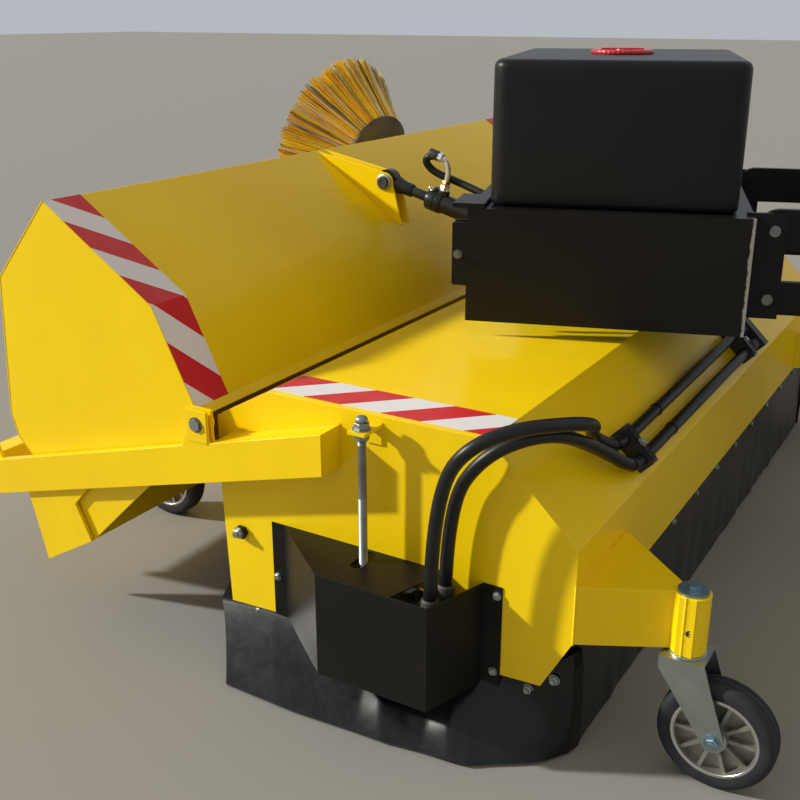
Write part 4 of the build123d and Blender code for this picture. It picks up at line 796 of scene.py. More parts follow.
# Hose clamps: pairs of moulded black blocks under a steel strip with one bolt between the hoses,
# and the welded manifold that the hoses end in.
moulded_black = finished(
    "moulded clamp plastic",
    {"Base": (0.017, 0.017, 0.018, 1), "Patch": (0.028, 0.028, 0.030, 1), "Patch Scale": 16.0, "Grain Scale": 800.0,
     "Grain Depth": 0.0003, "Rough": 0.42, "Rough Spread": 0.15, "Dust": 0.3})
softened("hose_clamps", 2.5, moulded_black, "hood")
strip_work = bmesh.new()
clamp_tops = []
for y in (clamp_near - 15, clamp_far + 15):
    corners = []
    for rise in (44.2, 47.2):
        for lift, depth in ((25, -13), (121, -13), (121, 13), (25, 13)):
            corner = hood_back + slope * lift + slope_up * rise
            corners.append(strip_work.verts.new(spot(corner.x, y + depth, corner.z)))
    for ring in ((0, 1, 2, 3), (7, 6, 5, 4), (0, 4, 5, 1), (1, 5, 6, 2), (2, 6, 7, 3), (3, 7, 4, 0)):
        strip_work.faces.new([corners[index] for index in ring])
    top = hood_back + slope * 73 + slope_up * 47.2
    clamp_tops.append((spot(top.x, y, top.z), slope_up))
bmesh.ops.bevel(strip_work, geom=strip_work.edges[:], offset=0.0012, segments=2, affect="EDGES")
closed_piece("clamp_strips", strip_work, [black_paint], "hood")
bolted("clamp_bolts", clamp_tops, 10, "hood")

# Collecting hopper, tipped open: folded sheet panels with two flat ends, welded along the folds
# and sprayed yellow. It swings on a pin at each side, held between two hinge plates that are
# welded to the arm.
for name in ("hopper_roof", "hopper_front", "hopper_floor", "hopper_end_left", "hopper_end_right"):
    softened(name, 1.6, yellow_paint, "hopper")
hopper_half = hood_half + 46
hopper_tape_path = [(933, 1109), (604, 893), (487, 657)]
for hand, side in (("left", 1), ("right", -1)):
    lay_tape(f"hopper_tape_{hand}", hopper_tape_path, side * hopper_half, -side, -77, "hopper")

arm_outer, hinge_x = hood_half + 76, 460


def plate(work, middle, ahead, up, half_ahead, half_up, half_thick, round_edge):
    ahead, up = Vector(ahead).normalized(), Vector(up).normalized()
    across = ahead.cross(up)
    own = bmesh.new()
    bmesh.ops.create_cube(own, size=2.0)
    for vertex in own.verts:
        x, y, z = vertex.co
        vertex.co = middle + (ahead * x * half_ahead + up * y * half_up + across * z * half_thick) / 1000
    bmesh.ops.bevel(own, geom=own.edges[:], offset=round_edge / 1000, segments=2, affect="EDGES")
    loose = bpy.data.meshes.new("loose")
    own.to_mesh(loose)
    own.free()
    work.from_mesh(loose)
    bpy.data.meshes.remove(loose)


hinge_work = bmesh.new()
for side in (1, -1):
    for y in (arm_outer - 2.2, arm_outer - 25 + 4.2):
        plate(hinge_work, spot(hinge_x, side * y, 628), (1, 0, 0), (0, 0, 1), 34, 42, 4.35, 3.0)
    lathe(hinge_work, spot(hinge_x, side * (arm_outer + 2.0), 633), (0, side, 0), flat_ring(9, 19, 2.2), 28, 1)
closed_piece("hinge_plates", hinge_work, [yellow_paint, plain_steel], "hood")
for hand in ("left", "right"):
    softened(f"hinge_pin_{hand}", 0.8, zinc_plate, "hood")

# Welds: short overlapping ripples of the welder's bead where plates meet, painted over. They run
# along the joints of the arms, brackets, hopper, ears, head box and coupling frame.


def bead_tree():
    tree = bpy.data.node_groups.new("weld beads", "GeometryNodeTree")
    tree.interface.new_socket(name="Joint Line", in_out="INPUT", socket_type="NodeSocketGeometry")
    for name, usual in (("Bead Width", 0.006), ("Ripple", 0.0032)):
        tree.interface.new_socket(name=name, in_out="INPUT", socket_type="NodeSocketFloat").default_value = usual
    tree.interface.new_socket(name="Finish", in_out="INPUT", socket_type="NodeSocketMaterial")
    tree.interface.new_socket(name="Beads", in_out="OUTPUT", socket_type="NodeSocketGeometry")
    wanted = place(tree, "NodeGroupInput").outputs
    line = place(tree, "GeometryNodeMeshToCurve", {"Mesh": wanted["Joint Line"]})
    stepped = place(tree, "GeometryNodeResampleCurve", {"Curve": line.outputs[0], "Length": wanted["Ripple"]},
                    mode="LENGTH")
    drops = place(tree, "GeometryNodeCurveToPoints", {"Curve": stepped.outputs[0]}, mode="EVALUATED")
    half = place(tree, "ShaderNodeMath", {0: wanted["Bead Width"], 1: 0.5}, operation="MULTIPLY")
    drop = place(tree, "GeometryNodeMeshUVSphere", {"Segments": 8, "Rings": 4, "Radius": half.outputs[0]})
    squash = place(tree, "FunctionNodeRandomValue", {0: (0.85, 0.85, 0.55), 1: (1.15, 1.15, 0.75), "Seed": 3},
                   data_type="FLOAT_VECTOR")
    laid = place(tree, "GeometryNodeInstanceOnPoints",
                 {"Points": drops.outputs["Points"], "Instance": drop.outputs[0],
                  "Rotation": drops.outputs["Rotation"], "Scale": squash.outputs[0]})
    real = place(tree, "GeometryNodeRealizeInstances", {"Geometry": laid.outputs[0]})
    smooth = place(tree, "GeometryNodeSetShadeSmooth", {"Geometry": real.outputs[0]})
    coated = place(tree, "GeometryNodeSetMaterial", {"Geometry": smooth.outputs[0], "Material": wanted["Finish"]})
    place(tree, "NodeGroupOutput", {0: coated.outputs[0]})
    return tree


weld_beads = bead_tree()


def welded(name, lines, width, finish, body):
    mesh = bpy.data.meshes.new(name)
    corners = [point for line in lines for point in line]
    links, count = [], 0
    for line in lines:
        links += [(count + index, count + index + 1) for index in range(len(line) - 1)]
        count += len(line)
    mesh.from_pydata(corners, links, [])
    made = made_by_rule(name, mesh, weld_beads,
                        {"Bead Width": width / 1000, "Ripple": width * 0.55 / 1000, "Finish": finish})
    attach(made, body)


def arm_top(x):
    return 680 - 0.275 * (x - 105)


hood_joints = []
for side in (1, -1):
    face = side * (hood_half + 0.5)
    hood_joints.append([spot(x, face, arm_top(x) - drop) for x, drop in
                        ((424, 0), (105, 0), (105, 100), (424, 100))])
    for y in (arm_outer - 8.5, arm_outer - 16.5):
        hood_joints.append([spot(434, side * y, arm_top(434)), spot(487, side * y, arm_top(487))])
    seats = ((-470, 1215, 1023, -680, 1105, 436), (1280, 815, 595, 1200, 705, 358))
    for seat_x, near, far, stem_x, stem_y, top in seats:
        hood_joints.append([spot(seat_x, side * near, 301), spot(seat_x, side * near, top),
                            spot(seat_x, side * far, top), spot(seat_x, side * far, 301)])
        toward = 1 if seat_x > stem_x else -1
        for end in (37, -37):
            hood_joints.append([spot(stem_x + toward * 4, side * (stem_y + end), 301),
                                spot(stem_x + toward * 4, side * (stem_y + end), top)])
    hood_joints.append([spot(15 - 22, face, 703), spot(15 + 22, face, 703)])
    hood_joints.append([spot(1280, side * 1265.5, 258), spot(1280, side * 1265.5, 340)])
welded("hood_welds", hood_joints, 6, yellow_paint, "hood")
hopper_joints = []
for side in (1, -1):
    inner = side * (hopper_half - 6.5)
    hopper_joints.append([spot(x, side * (hopper_half - 0.2), z) for x, z in
                          ((933, 1109), (1124, 898), (1150, 520), (1130, 455), (880, 205))])
    hopper_joints.append([spot(x, inner, z) for x, z in ((608, 886), (931, 1102), (1118, 896))])
welded("hopper_welds", hopper_joints, 4, yellow_paint, "hopper")

# Cylinder ears: two flame-cut yellow plates on the hopper's roof with a steel pin between them,
# which has a zinc washer and a dark turned end. The roof's folded lip closes its gap to the hood.
softened("ram_ears", 1.6, yellow_paint, "hopper")
ear_work = bmesh.new()
ram_y, ear_pin_x, ear_pin_z = 80, 669, 1027
for side in (1, -1):
    pin_end = spot(ear_pin_x, ram_y + side * 28.2, ear_pin_z)
    lathe(ear_work, pin_end, (0, side, 0),
          [(0, 12), (0, 25), (1.5, 26), (5, 26), (6.5, 24), (6.5, 12)], 40, 0)
    lathe(ear_work, pin_end, (0, side, 0),
          [(0, 0), (0, 19.5), (12, 19.5), (14.8, 17), (14.8, 9), (13, 8), (13, 0)], 40, 1)
closed_piece("ear_pin_ends", ear_work, [zinc_plate, cast_black], "hopper")
lip_work = bmesh.new()
plate(lip_work, spot(478.2, 0, 649.2), (0.76, 0, 0.65), (0, 1, 0), 13, 1238, 1.5, 1.0)
closed_piece("hopper_lip", lip_work, [yellow_paint], "hopper")
ear_lines = []
for y in (ram_y + 28.5, ram_y + 19.5, ram_y - 19.5, ram_y - 28.5):
    ear_lines.append([spot(608, y, 896), spot(930, y, 1108)])
welded("ear_welds", ear_lines, 5, yellow_paint, "hopper")

# Hopper cylinder: a black painted tube with a screwed gland, a rod dulled by old grease and a
# forged rod end. A bent zinc pipe screws into the front port, and a short hose loops back from it.
ram_base = Vector((-60, ram_y, 825))
ram_end = Vector((ear_pin_x, ram_y, ear_pin_z))
ram_dir = (ram_end - ram_base).normalized()
ram_up = Vector((-ram_dir.z, 0, ram_dir.x))


def ram_spot(reach, rise=0.0, side=0.0):
    return spot(*(ram_base + ram_dir * reach + ram_up * rise + Vector((0, side, 0))))


gloss_black = finished(
    "black gloss paint",
    {"Base": (0.010, 0.010, 0.010, 1), "Patch": (0.016, 0.015, 0.014, 1), "Patch Scale": 8.0, "Grain Scale": 300.0,
     "Grain Depth": 0.0001, "Wave Depth": 0.001, "Rough": 0.20, "Rough Spread": 0.15, "Dust": 0.25,
     "Dust Colour": (0.12, 0.11, 0.10, 1)},
    Specular_IOR_Level=0.45)
bright_zinc = finished(
    "bright zinc pipe",
    {"Base": (0.86, 0.88, 0.88, 1), "Patch": (0.76, 0.78, 0.78, 1), "Patch Scale": 20.0, "Grain Depth": 0.00003,
     "Rough": 0.30, "Rough Spread": 0.12, "Dust": 0.05},
    Metallic=0.55)
softened("ram_lugs", 1.5, black_paint, "hood")
softened("ram_barrel", 1.5, gloss_black, "ram_barrel_body")
barrel_work = bmesh.new()
ram_axis = spot(*ram_dir) - spot(0, 0, 0)
lathe(barrel_work, ram_spot(0), ram_axis,
      [(548, 29.5), (550, 33.5), (556, 35.2), (566, 35.2), (568, 33.6), (572, 33.6), (574, 35.2), (597, 35.2),
       (601, 33), (602, 17.2), (600, 17.2)], 40, 0)
lathe(barrel_work, ram_spot(0), ram_axis, [(599, 17), (599, 24), (604.5, 22), (605, 17)], 40, 2)
elbow = smooth_route([ram_spot(556, 44), ram_spot(556, 78, 1), ram_spot(558, 112, 4), ram_spot(578, 137, 6),
                      ram_spot(602, 137, 7)])
tube(barrel_work, elbow, 7.8, 16, 1)
lathe(barrel_work, ram_spot(556, 27), ram_up, [(0, 8), (0, 19), (12, 19), (14, 17), (14, 8)], 28, 0)
lathe(barrel_work, ram_spot(556, 40), ram_up, [(0, 6), (0, 14), (1.5, 15.5), (16, 15.5), (18, 14), (18, 6)], 6, 1)
lathe(barrel_work, ram_spot(556, 59), ram_up, [(0, 6), (0, 12), (1, 13.5), (12, 13.5), (14, 12), (14, 6)], 6, 3)
lathe(barrel_work, ram_spot(110, 40), ram_up, [(0, 6), (0, 13), (1.5, 14.5), (13, 14.5), (15, 13), (15, 6)], 6, 1)
hose_out = (elbow[-1] - elbow[-3]).normalized()
lathe(barrel_work, elbow[-1] - hose_out * 0.016, hose_out,
      [(0, 7), (0, 13), (1.5, 15), (17, 15), (18.5, 13), (18.5, 7)], 6, 1)
lathe(barrel_work, ram_spot(590, 33, 14), (0.2, 0.75, 0.6),
      [(0, 3), (0, 5.5), (6, 5.5), (7, 3), (13, 3), (14, 4.4), (17, 3), (18, 0)], 12, 1)
closed_piece("cylinder_fittings", barrel_work, [gloss_black, bright_zinc, hose_rubber, brass],
             "ram_barrel_body")
loop_work = bmesh.new()
loop = smooth_route([elbow[-1], ram_spot(634, 131, 9), ram_spot(646, 104, 2), ram_spot(612, 78, -14),
                     ram_spot(530, 76, -24), ram_spot(430, 74, -12), ram_spot(250, 71, 0), ram_spot(112, 84, 0),
                     ram_spot(110, 50, 0)])
tube(loop_work, loop, 12, 16)
lathe(loop_work, loop[0], hose_out, [(-1, 8), (-1, 14.5), (1, 15.5), (30, 15.5), (32, 14.5), (33, 10)], 20, 1)
lathe(loop_work, ram_spot(110, 52), ram_up, [(0, 8), (0, 13.5), (1, 14.5), (24, 14.5), (26, 12.5), (27, 9)], 20, 1)
ram_hose = closed_piece("cylinder_hose", loop_work, [hose_rubber, cast_black], "ram_barrel_body")
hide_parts("ram_hose")

greased_steel = finished(
    "greased rod",
    {"Base": (0.055, 0.055, 0.055, 1), "Patch": (0.03, 0.03, 0.03, 1), "Patch Scale": 18.0, "Grain Depth": 0.00003,
     "Rough": 0.22, "Rough Spread": 0.15, "Dust": 0.25},
    Metallic=0.6)
rod_piece = softened("ram_rod", 3.0, greased_steel, "ram_rod_body")
rod_piece.data.materials.append(gloss_black)
for face in rod_piece.data.polygons:
    reach = (face.center - ram_spot(0)).dot(ram_axis.normalized()) * 1000
    if reach > 664:
        face.material_index = 1
neck_work = bmesh.new()
lathe(neck_work, ram_spot(0), ram_axis,
      [(662, 16), (662, 19), (665, 21), (690, 21), (706, 24), (722, 28), (728, 20)], 32)
closed_piece("rod_end_neck", neck_work, [gloss_black], "ram_rod_body")

# Swivel post: thick tube with a collar and foot plates, welded to the hood's roof. The head turns
# on it; grease keeps its paint dark and shiny.
softened("swivel_post", 1.5, gloss_black, "hood")

# Head: a box of bent and welded black plate, open to the front, that turns on the swivel post. Its
# rear corner is rubbed down to bare steel, and specks of paint have chipped off its flat sides.
head_turn = radians(18)
post_x = -182


def head_spot(x, y, z):
    return spot(post_x + x * cos(head_turn) - y * sin(head_turn), x * sin(head_turn) + y * cos(head_turn), z)


worn_black = finished(
    "black powder coat, worn",
    {"Base": (0.0075, 0.0068, 0.006, 1), "Patch": (0.011, 0.010, 0.009, 1), "Patch Scale": 1.4, "Grain Scale": 700.0,
     "Grain Depth": 0.00012, "Wave Depth": 0.003, "Rough": 0.33, "Rough Spread": 0.10, "Dust": 0.05,
     "Dust Colour": (0.09, 0.08, 0.07, 1)},
    Specular_IOR_Level=0.20)


def rub_to_steel(material, edge):
    tree = material.node_tree
    shader = tree.nodes["Principled BSDF"]
    coated = shader.inputs["Base Color"].links[0].from_socket
    body = place(tree, "ShaderNodeTexCoord").outputs["Object"]
    level = place(tree, "ShaderNodeVectorMath", {0: body, 1: (1, 1, 0)}, operation="MULTIPLY")
    away = place(tree, "ShaderNodeVectorMath", {0: level.outputs[0], 1: (edge.x, edge.y, 0)}, operation="DISTANCE")
    flakes = place(tree, "ShaderNodeTexNoise", {"Vector": body, "Scale": 42.0, "Detail": 7.0, "Roughness": 0.7})
    ragged = place(tree, "ShaderNodeMath", {0: flakes.outputs[0], 1: 0.022, 2: away.outputs["Value"]},
                   operation="MULTIPLY_ADD")
    rubbed = place(tree, "ShaderNodeMapRange", {0: ragged.outputs[0], 1: 0.0175, 2: 0.0205, 3: 1.0, 4: 0.0})
    chips = place(tree, "ShaderNodeTexVoronoi", {"Vector": body, "Scale": 7.5, "Randomness": 1.0})
    chipped = place(tree, "ShaderNodeMapRange", {0: chips.outputs["Distance"], 1: 0.015, 2: 0.025, 3: 1.0, 4: 0.0})
    bare = place(tree, "ShaderNodeMath", {0: rubbed.outputs[0], 1: chipped.outputs[0]}, operation="MAXIMUM")
    worn = place(tree, "ShaderNodeMix", {0: bare.outputs[0], 6: coated, 7: (0.34, 0.34, 0.33, 1)},
                 data_type="RGBA")
    tree.links.new(worn.outputs[2], shader.inputs["Base Color"])


rub_to_steel(worn_black, head_spot(-247, 450, 0))
softened("head_frame", 2.2, worn_black, "head")

head_ahead = head_spot(1, 0, 0) - head_spot(0, 0, 0)
head_across = head_spot(0, 1, 0) - head_spot(0, 0, 0)
head_work = bmesh.new()
for y in (444, 404):
    plate(head_work, head_spot(490, y, 940), head_ahead, (0, 0, 1), 22, 84, 6, 2.5)
plate(head_work, head_spot(470, 369, 1068), head_ahead, (0, 0, 1), 42, 6, 80, 2.0)
lathe(head_work, head_spot(496, 450.2, 940), head_across, flat_ring(0, 12, 2), 28, 1)
lathe(head_work, head_spot(496, 452.2, 940), head_across, [(0, 0), (0, 9), (6, 9), (7, 8), (7, 0)], 6, 1)
closed_piece("head_front_lugs", head_work, [worn_black, plain_steel], "head")
pin_work = bmesh.new()
for side in (1, -1):
    for x in (-297, -747):
        for z in (851, 1026):
            middle, out = head_spot(x, side * 403.2, z), head_across * side
            lathe(pin_work, middle, out, flat_ring(10, 23, 2.8), 32, 1)
            lathe(pin_work, middle, out, [(2.6, 0), (2.6, 14.6), (9, 14.6), (10.5, 13), (10.5, 0)], 32, 0)
closed_piece("link_pin_ends", pin_work, [plain_steel, black_paint], "head")

# Water tank: one rotomoulded shell of black polyethylene with thick rounded corners. Its flat
# sides bow out a little under the water's weight. It stands on the head's top plate.
tank_black = finished(
    "moulded tank plastic",
    {"Base": (0.006, 0.006, 0.0062, 1), "Patch": (0.009, 0.0092, 0.0096, 1), "Patch Scale": 1.8, "Grain Scale": 620.0,
     "Grain Depth": 0.00012, "Wave Depth": 0.004, "Rough": 0.33, "Rough Spread": 0.12, "Dust": 0.04,
     "Dust Colour": (0.06, 0.06, 0.06, 1)},
    Specular_IOR_Level=0.27)


def tank_outline(inset, height_share):
    half_x, half_y, corner = 315 - inset, 425 - inset, max(42 - inset, 6)
    points = []
    for toward_x, toward_y, start in ((1, 1, 0), (-1, 1, 90), (-1, -1, 180), (1, -1, 270)):
        for step in range(9):
            turn = radians(start + step * 90 / 8)
            points.append((toward_x * (half_x - corner) + corner * cos(turn),
                           toward_y * (half_y - corner) + corner * sin(turn)))
    filled = []
    for (x0, y0), (x1, y1) in zip(points, points[1:] + points[:1]):
        filled.append((x0, y0))
        if hypot(x1 - x0, y1 - y0) > 100:
            filled += [(x0 + (x1 - x0) * share / 8, y0 + (y1 - y0) * share / 8) for share in range(1, 8)]
    bowed = []
    for x, y in filled:
        bow = 5.0 * sin(pi * height_share)
        bowed.append((x + bow * (x / half_x) ** 5 * max(0, cos(pi * y / (2 * half_y))),
                      y + bow * (y / half_y) ** 5 * max(0, cos(pi * x / (2 * half_x)))))
    return bowed


tank_work = bmesh.new()
tank_low, tank_foot, tank_high, foot_round, top_round = 1062, 1062.4, 1430, 14, 20
levels = [(tank_foot, foot_round)]
levels += [(tank_foot + foot_round * (1 - cos(radians(turn))), foot_round * (1 - sin(radians(turn))))
           for turn in (30, 60, 90)]
levels += [(1076 + 334 * step / 10, 0) for step in range(1, 10)]
levels += [(tank_high - top_round + top_round * sin(radians(turn)), top_round * (1 - cos(radians(turn))))
           for turn in (0, 18, 36, 54, 72, 90)]
levels += [(tank_high, 60), (tank_high, 150)]
rings = []
for z, inset in levels:
    share = (z - tank_low) / (tank_high - tank_low)
    rings.append([tank_work.verts.new(head_spot(108 + x, -14 + y, z)) for x, y in tank_outline(inset, share)])
for low, high in zip(rings, rings[1:]):
    for index in range(len(low)):
        after = (index + 1) % len(low)
        tank_work.faces.new((low[index], low[after], high[after], high[index])).smooth = True
tank_work.faces.new(rings[0][::-1])
tank_work.faces.new(rings[-1])
lid_middle = head_spot(118, -17, 0)
lathe(tank_work, lid_middle, (0, 0, 1), [(1429, 30), (1429, 74), (1436, 74), (1436, 30)], 48)
tank = closed_piece("moulded_water_tank", tank_work, [tank_black], "head")
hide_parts("water_tank")

# Tank lid: a flat screw lid of glossy red plastic, with ribs round its edge for the hand and a
# raised bar across a shallow dish.
lid_red = finished(
    "red moulded lid",
    {"Base": (0.60, 0.022, 0.030, 1), "Patch": (0.50, 0.016, 0.022, 1), "Patch Scale": 12.0, "Grain Scale": 300.0,
     "Grain Depth": 0.0001, "Rough": 0.24, "Rough Spread": 0.15, "Dust": 0.15, "Dust Colour": (0.45, 0.30, 0.27, 1)},
    Coat_Weight=0.2)
lid_work, lid_steps = bmesh.new(), 120
lathe(lid_work, lid_middle, (0, 0, 1), [(1430.6, 75), (1430.6, 85), (1431.5, 86.8), (1437, 86.8), (1440.5, 84),
                                        (1441.5, 80), (1441.5, 64), (1437.5, 60), (1437, 0)], lid_steps)
for vertex in lid_work.verts:
    out = Vector((vertex.co.x - lid_middle.x, vertex.co.y - lid_middle.y, 0))
    groove = round(atan2(out.y, out.x) / (2 * pi / lid_steps))
    if out.length > 0.0855 and groove % 3 == 0:
        vertex.co -= out * 0.028
plate(lid_work, head_spot(118, -17, 1440.5), head_ahead, (0, 0, 1), 60, 5, 7, 2.5)
lathe(lid_work, lid_middle, (0, 0, 1), [(1437, 0), (1437, 22), (1442.5, 20), (1443.5, 0)], 32)
lid = closed_piece("screw_lid", lid_work, [lid_red], "lid")
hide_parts("tank_lid")

# Links: two flat bars a side on steel pins, each pair joined by a cross tube. Flame-cut, welded
# and powder coated black.
softened("link_low", 2.0, black_paint, "low_links")
softened("link_high", 2.0, black_paint, "high_links")

# Coupling frame: square tube and plate, welded and powder coated, that hangs on the carrier's
# three-point linkage. Its two lower pins and the bushes are zinc plated.
coupling = softened("coupling_frame", 2.0, black_paint, "coupler")
coupling.data.materials.append(zinc_plate)
for face in coupling.data.polygons:
    sideways = abs((face.center - head_spot(0, 0, 0)).dot(head_across.normalized())) * 1000
    if sideways > 412.6 and face.center.z < 0.60:
        face.material_index = 1
hitch_work = bmesh.new()
for side in (1, -1):
    foot = head_spot(-847, side * 413, 560)
    lathe(hitch_work, foot, head_across * side, [(0, 13), (0, 21), (5, 21), (6, 20), (6, 13)], 28)
    lathe(hitch_work, foot, head_across * side, [(74, 13), (74, 15.4), (78, 15.4), (78, 13)], 28)
    for y in (28, 44.5):
        lathe(hitch_work, head_spot(-907, side * y, 1170), head_across * side,
              [(-1.5, 12.8), (-1.5, 21), (1.5, 21), (1.5, 12.8), (-1.5, 12.8)], 28)
closed_piece("coupling_bushes", hitch_work, [zinc_plate], "coupler")
frame_joints = []
for side in (1, -1):
    for z in (535, 605, 991, 1061):
        frame_joints.append([head_spot(-875, side * 391, z), head_spot(-809, side * 391, z)])
    for y in (30, 42):
        frame_joints.append([head_spot(-876, side * y, 1061.5), head_spot(-818, side * y, 1061.5)])
welded("coupling_welds", frame_joints, 6, black_paint, "coupler")
head_joints = []
for side in (1, -1):
    for y in (391, 403):
        head_joints.append([head_spot(-247.5, side * y, 802), head_spot(-247.5, side * y, 1058)])
welded("head_welds", head_joints, 6, black_paint, "head")

# Castors: a bent zinc-plated fork on a stem greased in its tube, a thrust ring between them, a
# capped stem bolt, and a cast aluminium rim with ten ribs, bright where it was turned. A round
# yellow tube with a grub screw goes over each bracket's tube.
blue_zinc = finished(
    "blue zinc",
    {"Base": (0.34, 0.46, 0.52, 1), "Patch": (0.26, 0.36, 0.42, 1), "Patch Scale": 16.0, "Grain Depth": 0.00004,
     "Rough": 0.24, "Rough Spread": 0.2, "Dust": 0.12},
    Metallic=1.0)
cast_rim = finished(
    "cast aluminium",
    {"Base": (0.40, 0.39, 0.34, 1), "Patch": (0.30, 0.29, 0.25, 1), "Patch Scale": 12.0, "Grain Scale": 420.0,
     "Grain Depth": 0.0005, "Rough": 0.42, "Rough Spread": 0.2, "Dust": 0.35, "Dust Colour": (0.14, 0.12, 0.09, 1)},
    Metallic=0.85)
turned_rim = finished(
    "turned aluminium",
    {"Base": (0.76, 0.76, 0.74, 1), "Patch": (0.66, 0.66, 0.63, 1), "Patch Scale": 20.0, "Grain Depth": 0.00003,
     "Rough": 0.20, "Rough Spread": 0.2, "Dust": 0.15},
    Metallic=1.0)
tyre_black = finished(
    "solid tyre rubber",
    {"Base": (0.014, 0.016, 0.021, 1), "Patch": (0.022, 0.024, 0.029, 1), "Patch Scale": 7.0, "Grain Scale": 300.0,
     "Grain Depth": 0.0004, "Rough": 0.58, "Rough Spread": 0.15, "Dust": 0.45, "Dust Colour": (0.07, 0.07, 0.072, 1)},
    Specular_IOR_Level=0.35)
castor_places = [("rear_left", -680, 1105), ("rear_right", -680, -1105),
                 ("front_left", 1200, 705), ("front_right", 1200, -705)]
castor_trail, wheel_radius = 80, 125
for corner, stem_x, stem_y in castor_places:
    stem = spot(stem_x, stem_y, 0)
    fork = softened(f"castor_fork_{corner}", 1.2, zinc_plate, f"fork_{corner}")
    fork.data.materials.append(blue_zinc)
    for vertex in fork.data.vertices:
        if 0.296 < vertex.co.z < 0.3015 and hypot(vertex.co.x - stem.x, vertex.co.y - stem.y) > 0.0215:
            vertex.co.z -= 0.006
    for face in fork.data.polygons:
        if face.center.z > 0.436:
            face.material_index = 1
    fork_work = bmesh.new()
    lathe(fork_work, stem, (0, 0, 1), [(294, 19), (294, 38), (295.5, 40), (299, 40), (300.6, 38), (300.6, 19)], 40, 0)
    for side in (1, -1):
        hub = spot(stem_x - castor_trail, stem_y + side * 43.1, wheel_radius)
        lathe(fork_work, hub, (0, side, 0), flat_ring(9, 18, 2), 28, 1)
        lathe(fork_work, hub, (0, side, 0),
              [(1.8, 9), (1.8, 14.5), (9, 14.5), (11, 12.5), (11, 8), (14, 6.5), (14, 0)], 6, 1)
    closed_piece(f"fork_fittings_{corner}", fork_work, [zinc_plate, blue_zinc], f"fork_{corner}")
    softened(f"castor_rim_{corner}", 1.4, cast_rim, f"wheel_{corner}")
    rim_work = bmesh.new()
    hub = spot(stem_x - castor_trail, stem_y, wheel_radius)
    for side in (1, -1):
        lathe(rim_work, hub, (0, side, 0), [(27.9, 86.5), (28.6, 87.2), (28.6, 92.2), (27.9, 92.9)], 64)
        lathe(rim_work, hub, (0, side, 0), [(33.9, 14), (34.4, 15), (34.4, 25), (33.9, 26)], 40)
    closed_piece(f"turned_rings_{corner}", rim_work, [turned_rim], f"wheel_{corner}")
    tyre_work = bmesh.new()
    tread = [(-29.4, 93.3), (-30.4, 98), (-30.6, 106), (-29.8, 113), (-27, 119), (-21, 123.2), (-13, 124.8),
             (-9.6, 124.9), (-9, 122.8), (-7.4, 122.8), (-6.8, wheel_radius)]
    tread += [(-y, r) for y, r in tread[::-1]] + [(-29.4, 93.3)]
    lathe(tyre_work, hub, (0, 1, 0), tread, 72)
    tyre = closed_piece(f"solid_tyre_{corner}", tyre_work, [tyre_black], f"wheel_{corner}")
    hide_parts(f"castor_tyre_{corner}")
    tube_work = bmesh.new()
    lathe(tube_work, stem, (0, 0, 1),
          [(301.2, 21), (301.2, 36), (302.6, 37.5), (434.6, 37.5), (436.1, 36), (436.1, 21)], 56)
    closed_piece(f"castor_tube_{corner}", tube_work, [yellow_paint], "hood")
    screw_work = bmesh.new()
    facing = Vector((-0.232, 0.973 if stem_y > 0 else -0.973, 0))
    lathe(screw_work, stem + facing * 0.0372 + Vector((0, 0, 0.358)), facing,
          [(0, 0), (0, 7.4), (1.2, 7.4), (1.2, 4.6), (0.4, 4.2), (0.4, 2.2), (1.6, 1.8), (1.6, 0)], 20)
    closed_piece(f"grub_screw_{corner}", screw_work, [cast_black], "hood")

# Side brush: a black folding arm with its motor, and a pressed disc that holds 26 splayed tufts.
# Each tuft mixes orange plastic strands with flat grey steel ones, crimped and worn uneven.
brush_arm = softened("brush_arm", 2.0, black_paint, "side_brush_arm")
brush_axis = Vector((0.93576, -0.13151, 0.32722)).normalized()
brush_middle = spot(1547, -1250, 899)
brush_arm.data.materials.append(cast_black)
for face in brush_arm.data.polygons:
    offset = face.center - brush_middle
    if (offset - brush_axis * offset.dot(brush_axis)).length < 0.057 and offset.dot(brush_axis) < -0.013:
        face.material_index = 1
disc_steel = finished(
    "brush disc steel",
    {"Base": (0.10, 0.085, 0.062, 1), "Patch": (0.055, 0.048, 0.038, 1), "Patch Scale": 9.0, "Grain Scale": 260.0,
     "Grain Depth": 0.0006, "Rough": 0.45, "Rough Spread": 0.25, "Dust": 0.6, "Dust Colour": (0.24, 0.20, 0.14, 1)},
    Metallic=0.4)
disc_work = bmesh.new()
lathe(disc_work, brush_middle, brush_axis,
      [(0, 16.6), (0, 190), (1.5, 195), (4, 196.8), (14, 196.8), (17, 195.4), (18, 192), (18, 189), (15, 187),
       (14.5, 160), (12, 150), (12, 62), (15, 56), (18, 52), (18, 16.6), (0, 16.6)], 96)
first = brush_axis.orthogonal().normalized()
second = brush_axis.cross(first)
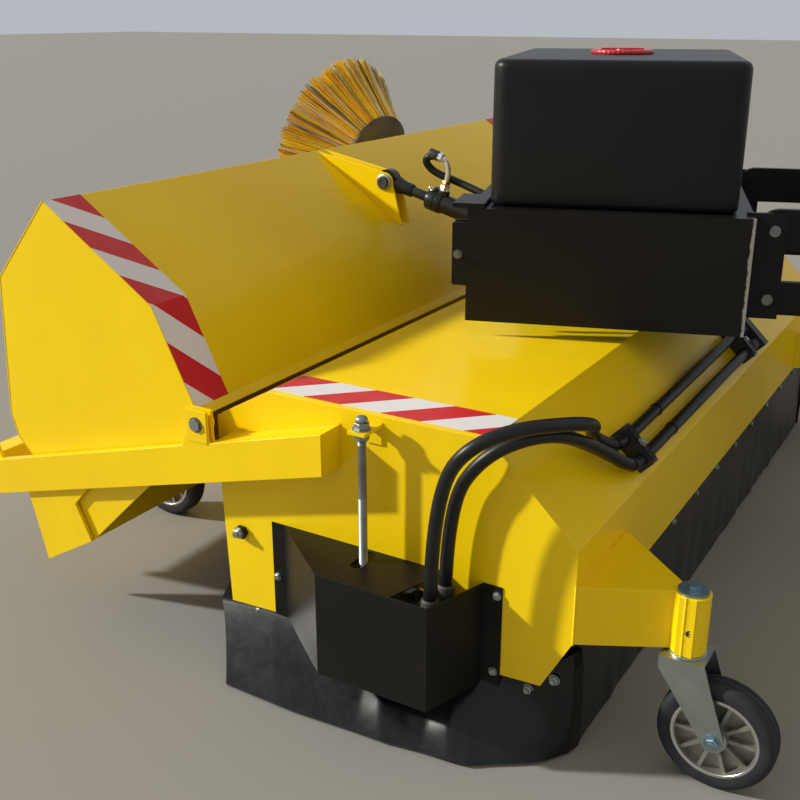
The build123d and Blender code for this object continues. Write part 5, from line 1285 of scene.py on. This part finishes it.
for spoke in range(6):
    turn = 2 * pi * spoke / 6
    out = first * cos(turn) + second * sin(turn)
    lathe(disc_work, brush_middle + out * 0.036 + brush_axis * 0.0178, brush_axis,
          [(0, 0), (0, 7), (5, 7), (6, 6), (6, 0)], 6)
disc = closed_piece("brush_disc", disc_work, [disc_steel], "side_brush_disc")
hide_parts("side_brush")
brush_strands = bristle_finish("orange and steel bristle", [
    (0.0, (1.0, 0.58, 0.012)), (0.24, (1.0, 0.76, 0.030)), (0.44, (1.0, 0.46, 0.010)), (0.56, (0.24, 0.23, 0.16)),
    (0.68, (0.46, 0.46, 0.40)), (0.84, (0.72, 0.72, 0.66)), (0.97, (0.10, 0.07, 0.03))], 0.36, 0.12)
chance = Random(26)
tuft_count, strands_a_tuft = 26, 88
roots, outs, sides, reaches, shades = [], [], [], [], []
for tuft in range(tuft_count):
    turn = 2 * pi * tuft / tuft_count
    away = first * cos(turn) + second * sin(turn)
    around = brush_axis.cross(away)
    # Tufts that point towards −y get a larger share of grey strands, and every third tuft a little more, so that side
    # of the fan is greyer.
    greyness = 0.22 + 0.60 * max(0.0, -away.y) ** 2 + (0.18 if tuft % 3 == 0 else 0.0)
    for strand in range(strands_a_tuft):
        spread, angle = chance.random() ** 0.5, 2 * pi * chance.random()
        root = brush_middle + brush_axis * 0.012 + away * (0.175 + 0.013 * spread * cos(angle))
        root += around * 0.019 * spread * sin(angle)
        end = brush_middle + brush_axis * chance.gauss(0.287, 0.007) + away * (0.338 + 0.026 * spread * cos(angle))
        end += around * (0.037 * spread * sin(angle) + chance.gauss(0, 0.005))
        run = end - root
        roots.append(root)
        outs.append(run.normalized())
        sides.append(away if chance.random() < 0.5 else around)
        reaches.append(run.length * (1.0 if chance.random() < 0.8 else chance.uniform(0.86, 1.0)))
        grey = chance.random() < greyness
        shades.append(chance.uniform(0.57, 0.99) if grey else chance.uniform(0.0, 0.55))
tufts = grown("side_brush_strands", roots, [("out", "FLOAT_VECTOR", outs), ("side", "FLOAT_VECTOR", sides),
                                            ("reach", "FLOAT", reaches), ("shade", "FLOAT", shades)],
              strands, {"Thickness": 0.0054, "Bend": 0.010, "Steps": 4, "Finish": brush_strands}, "side_brush_disc")
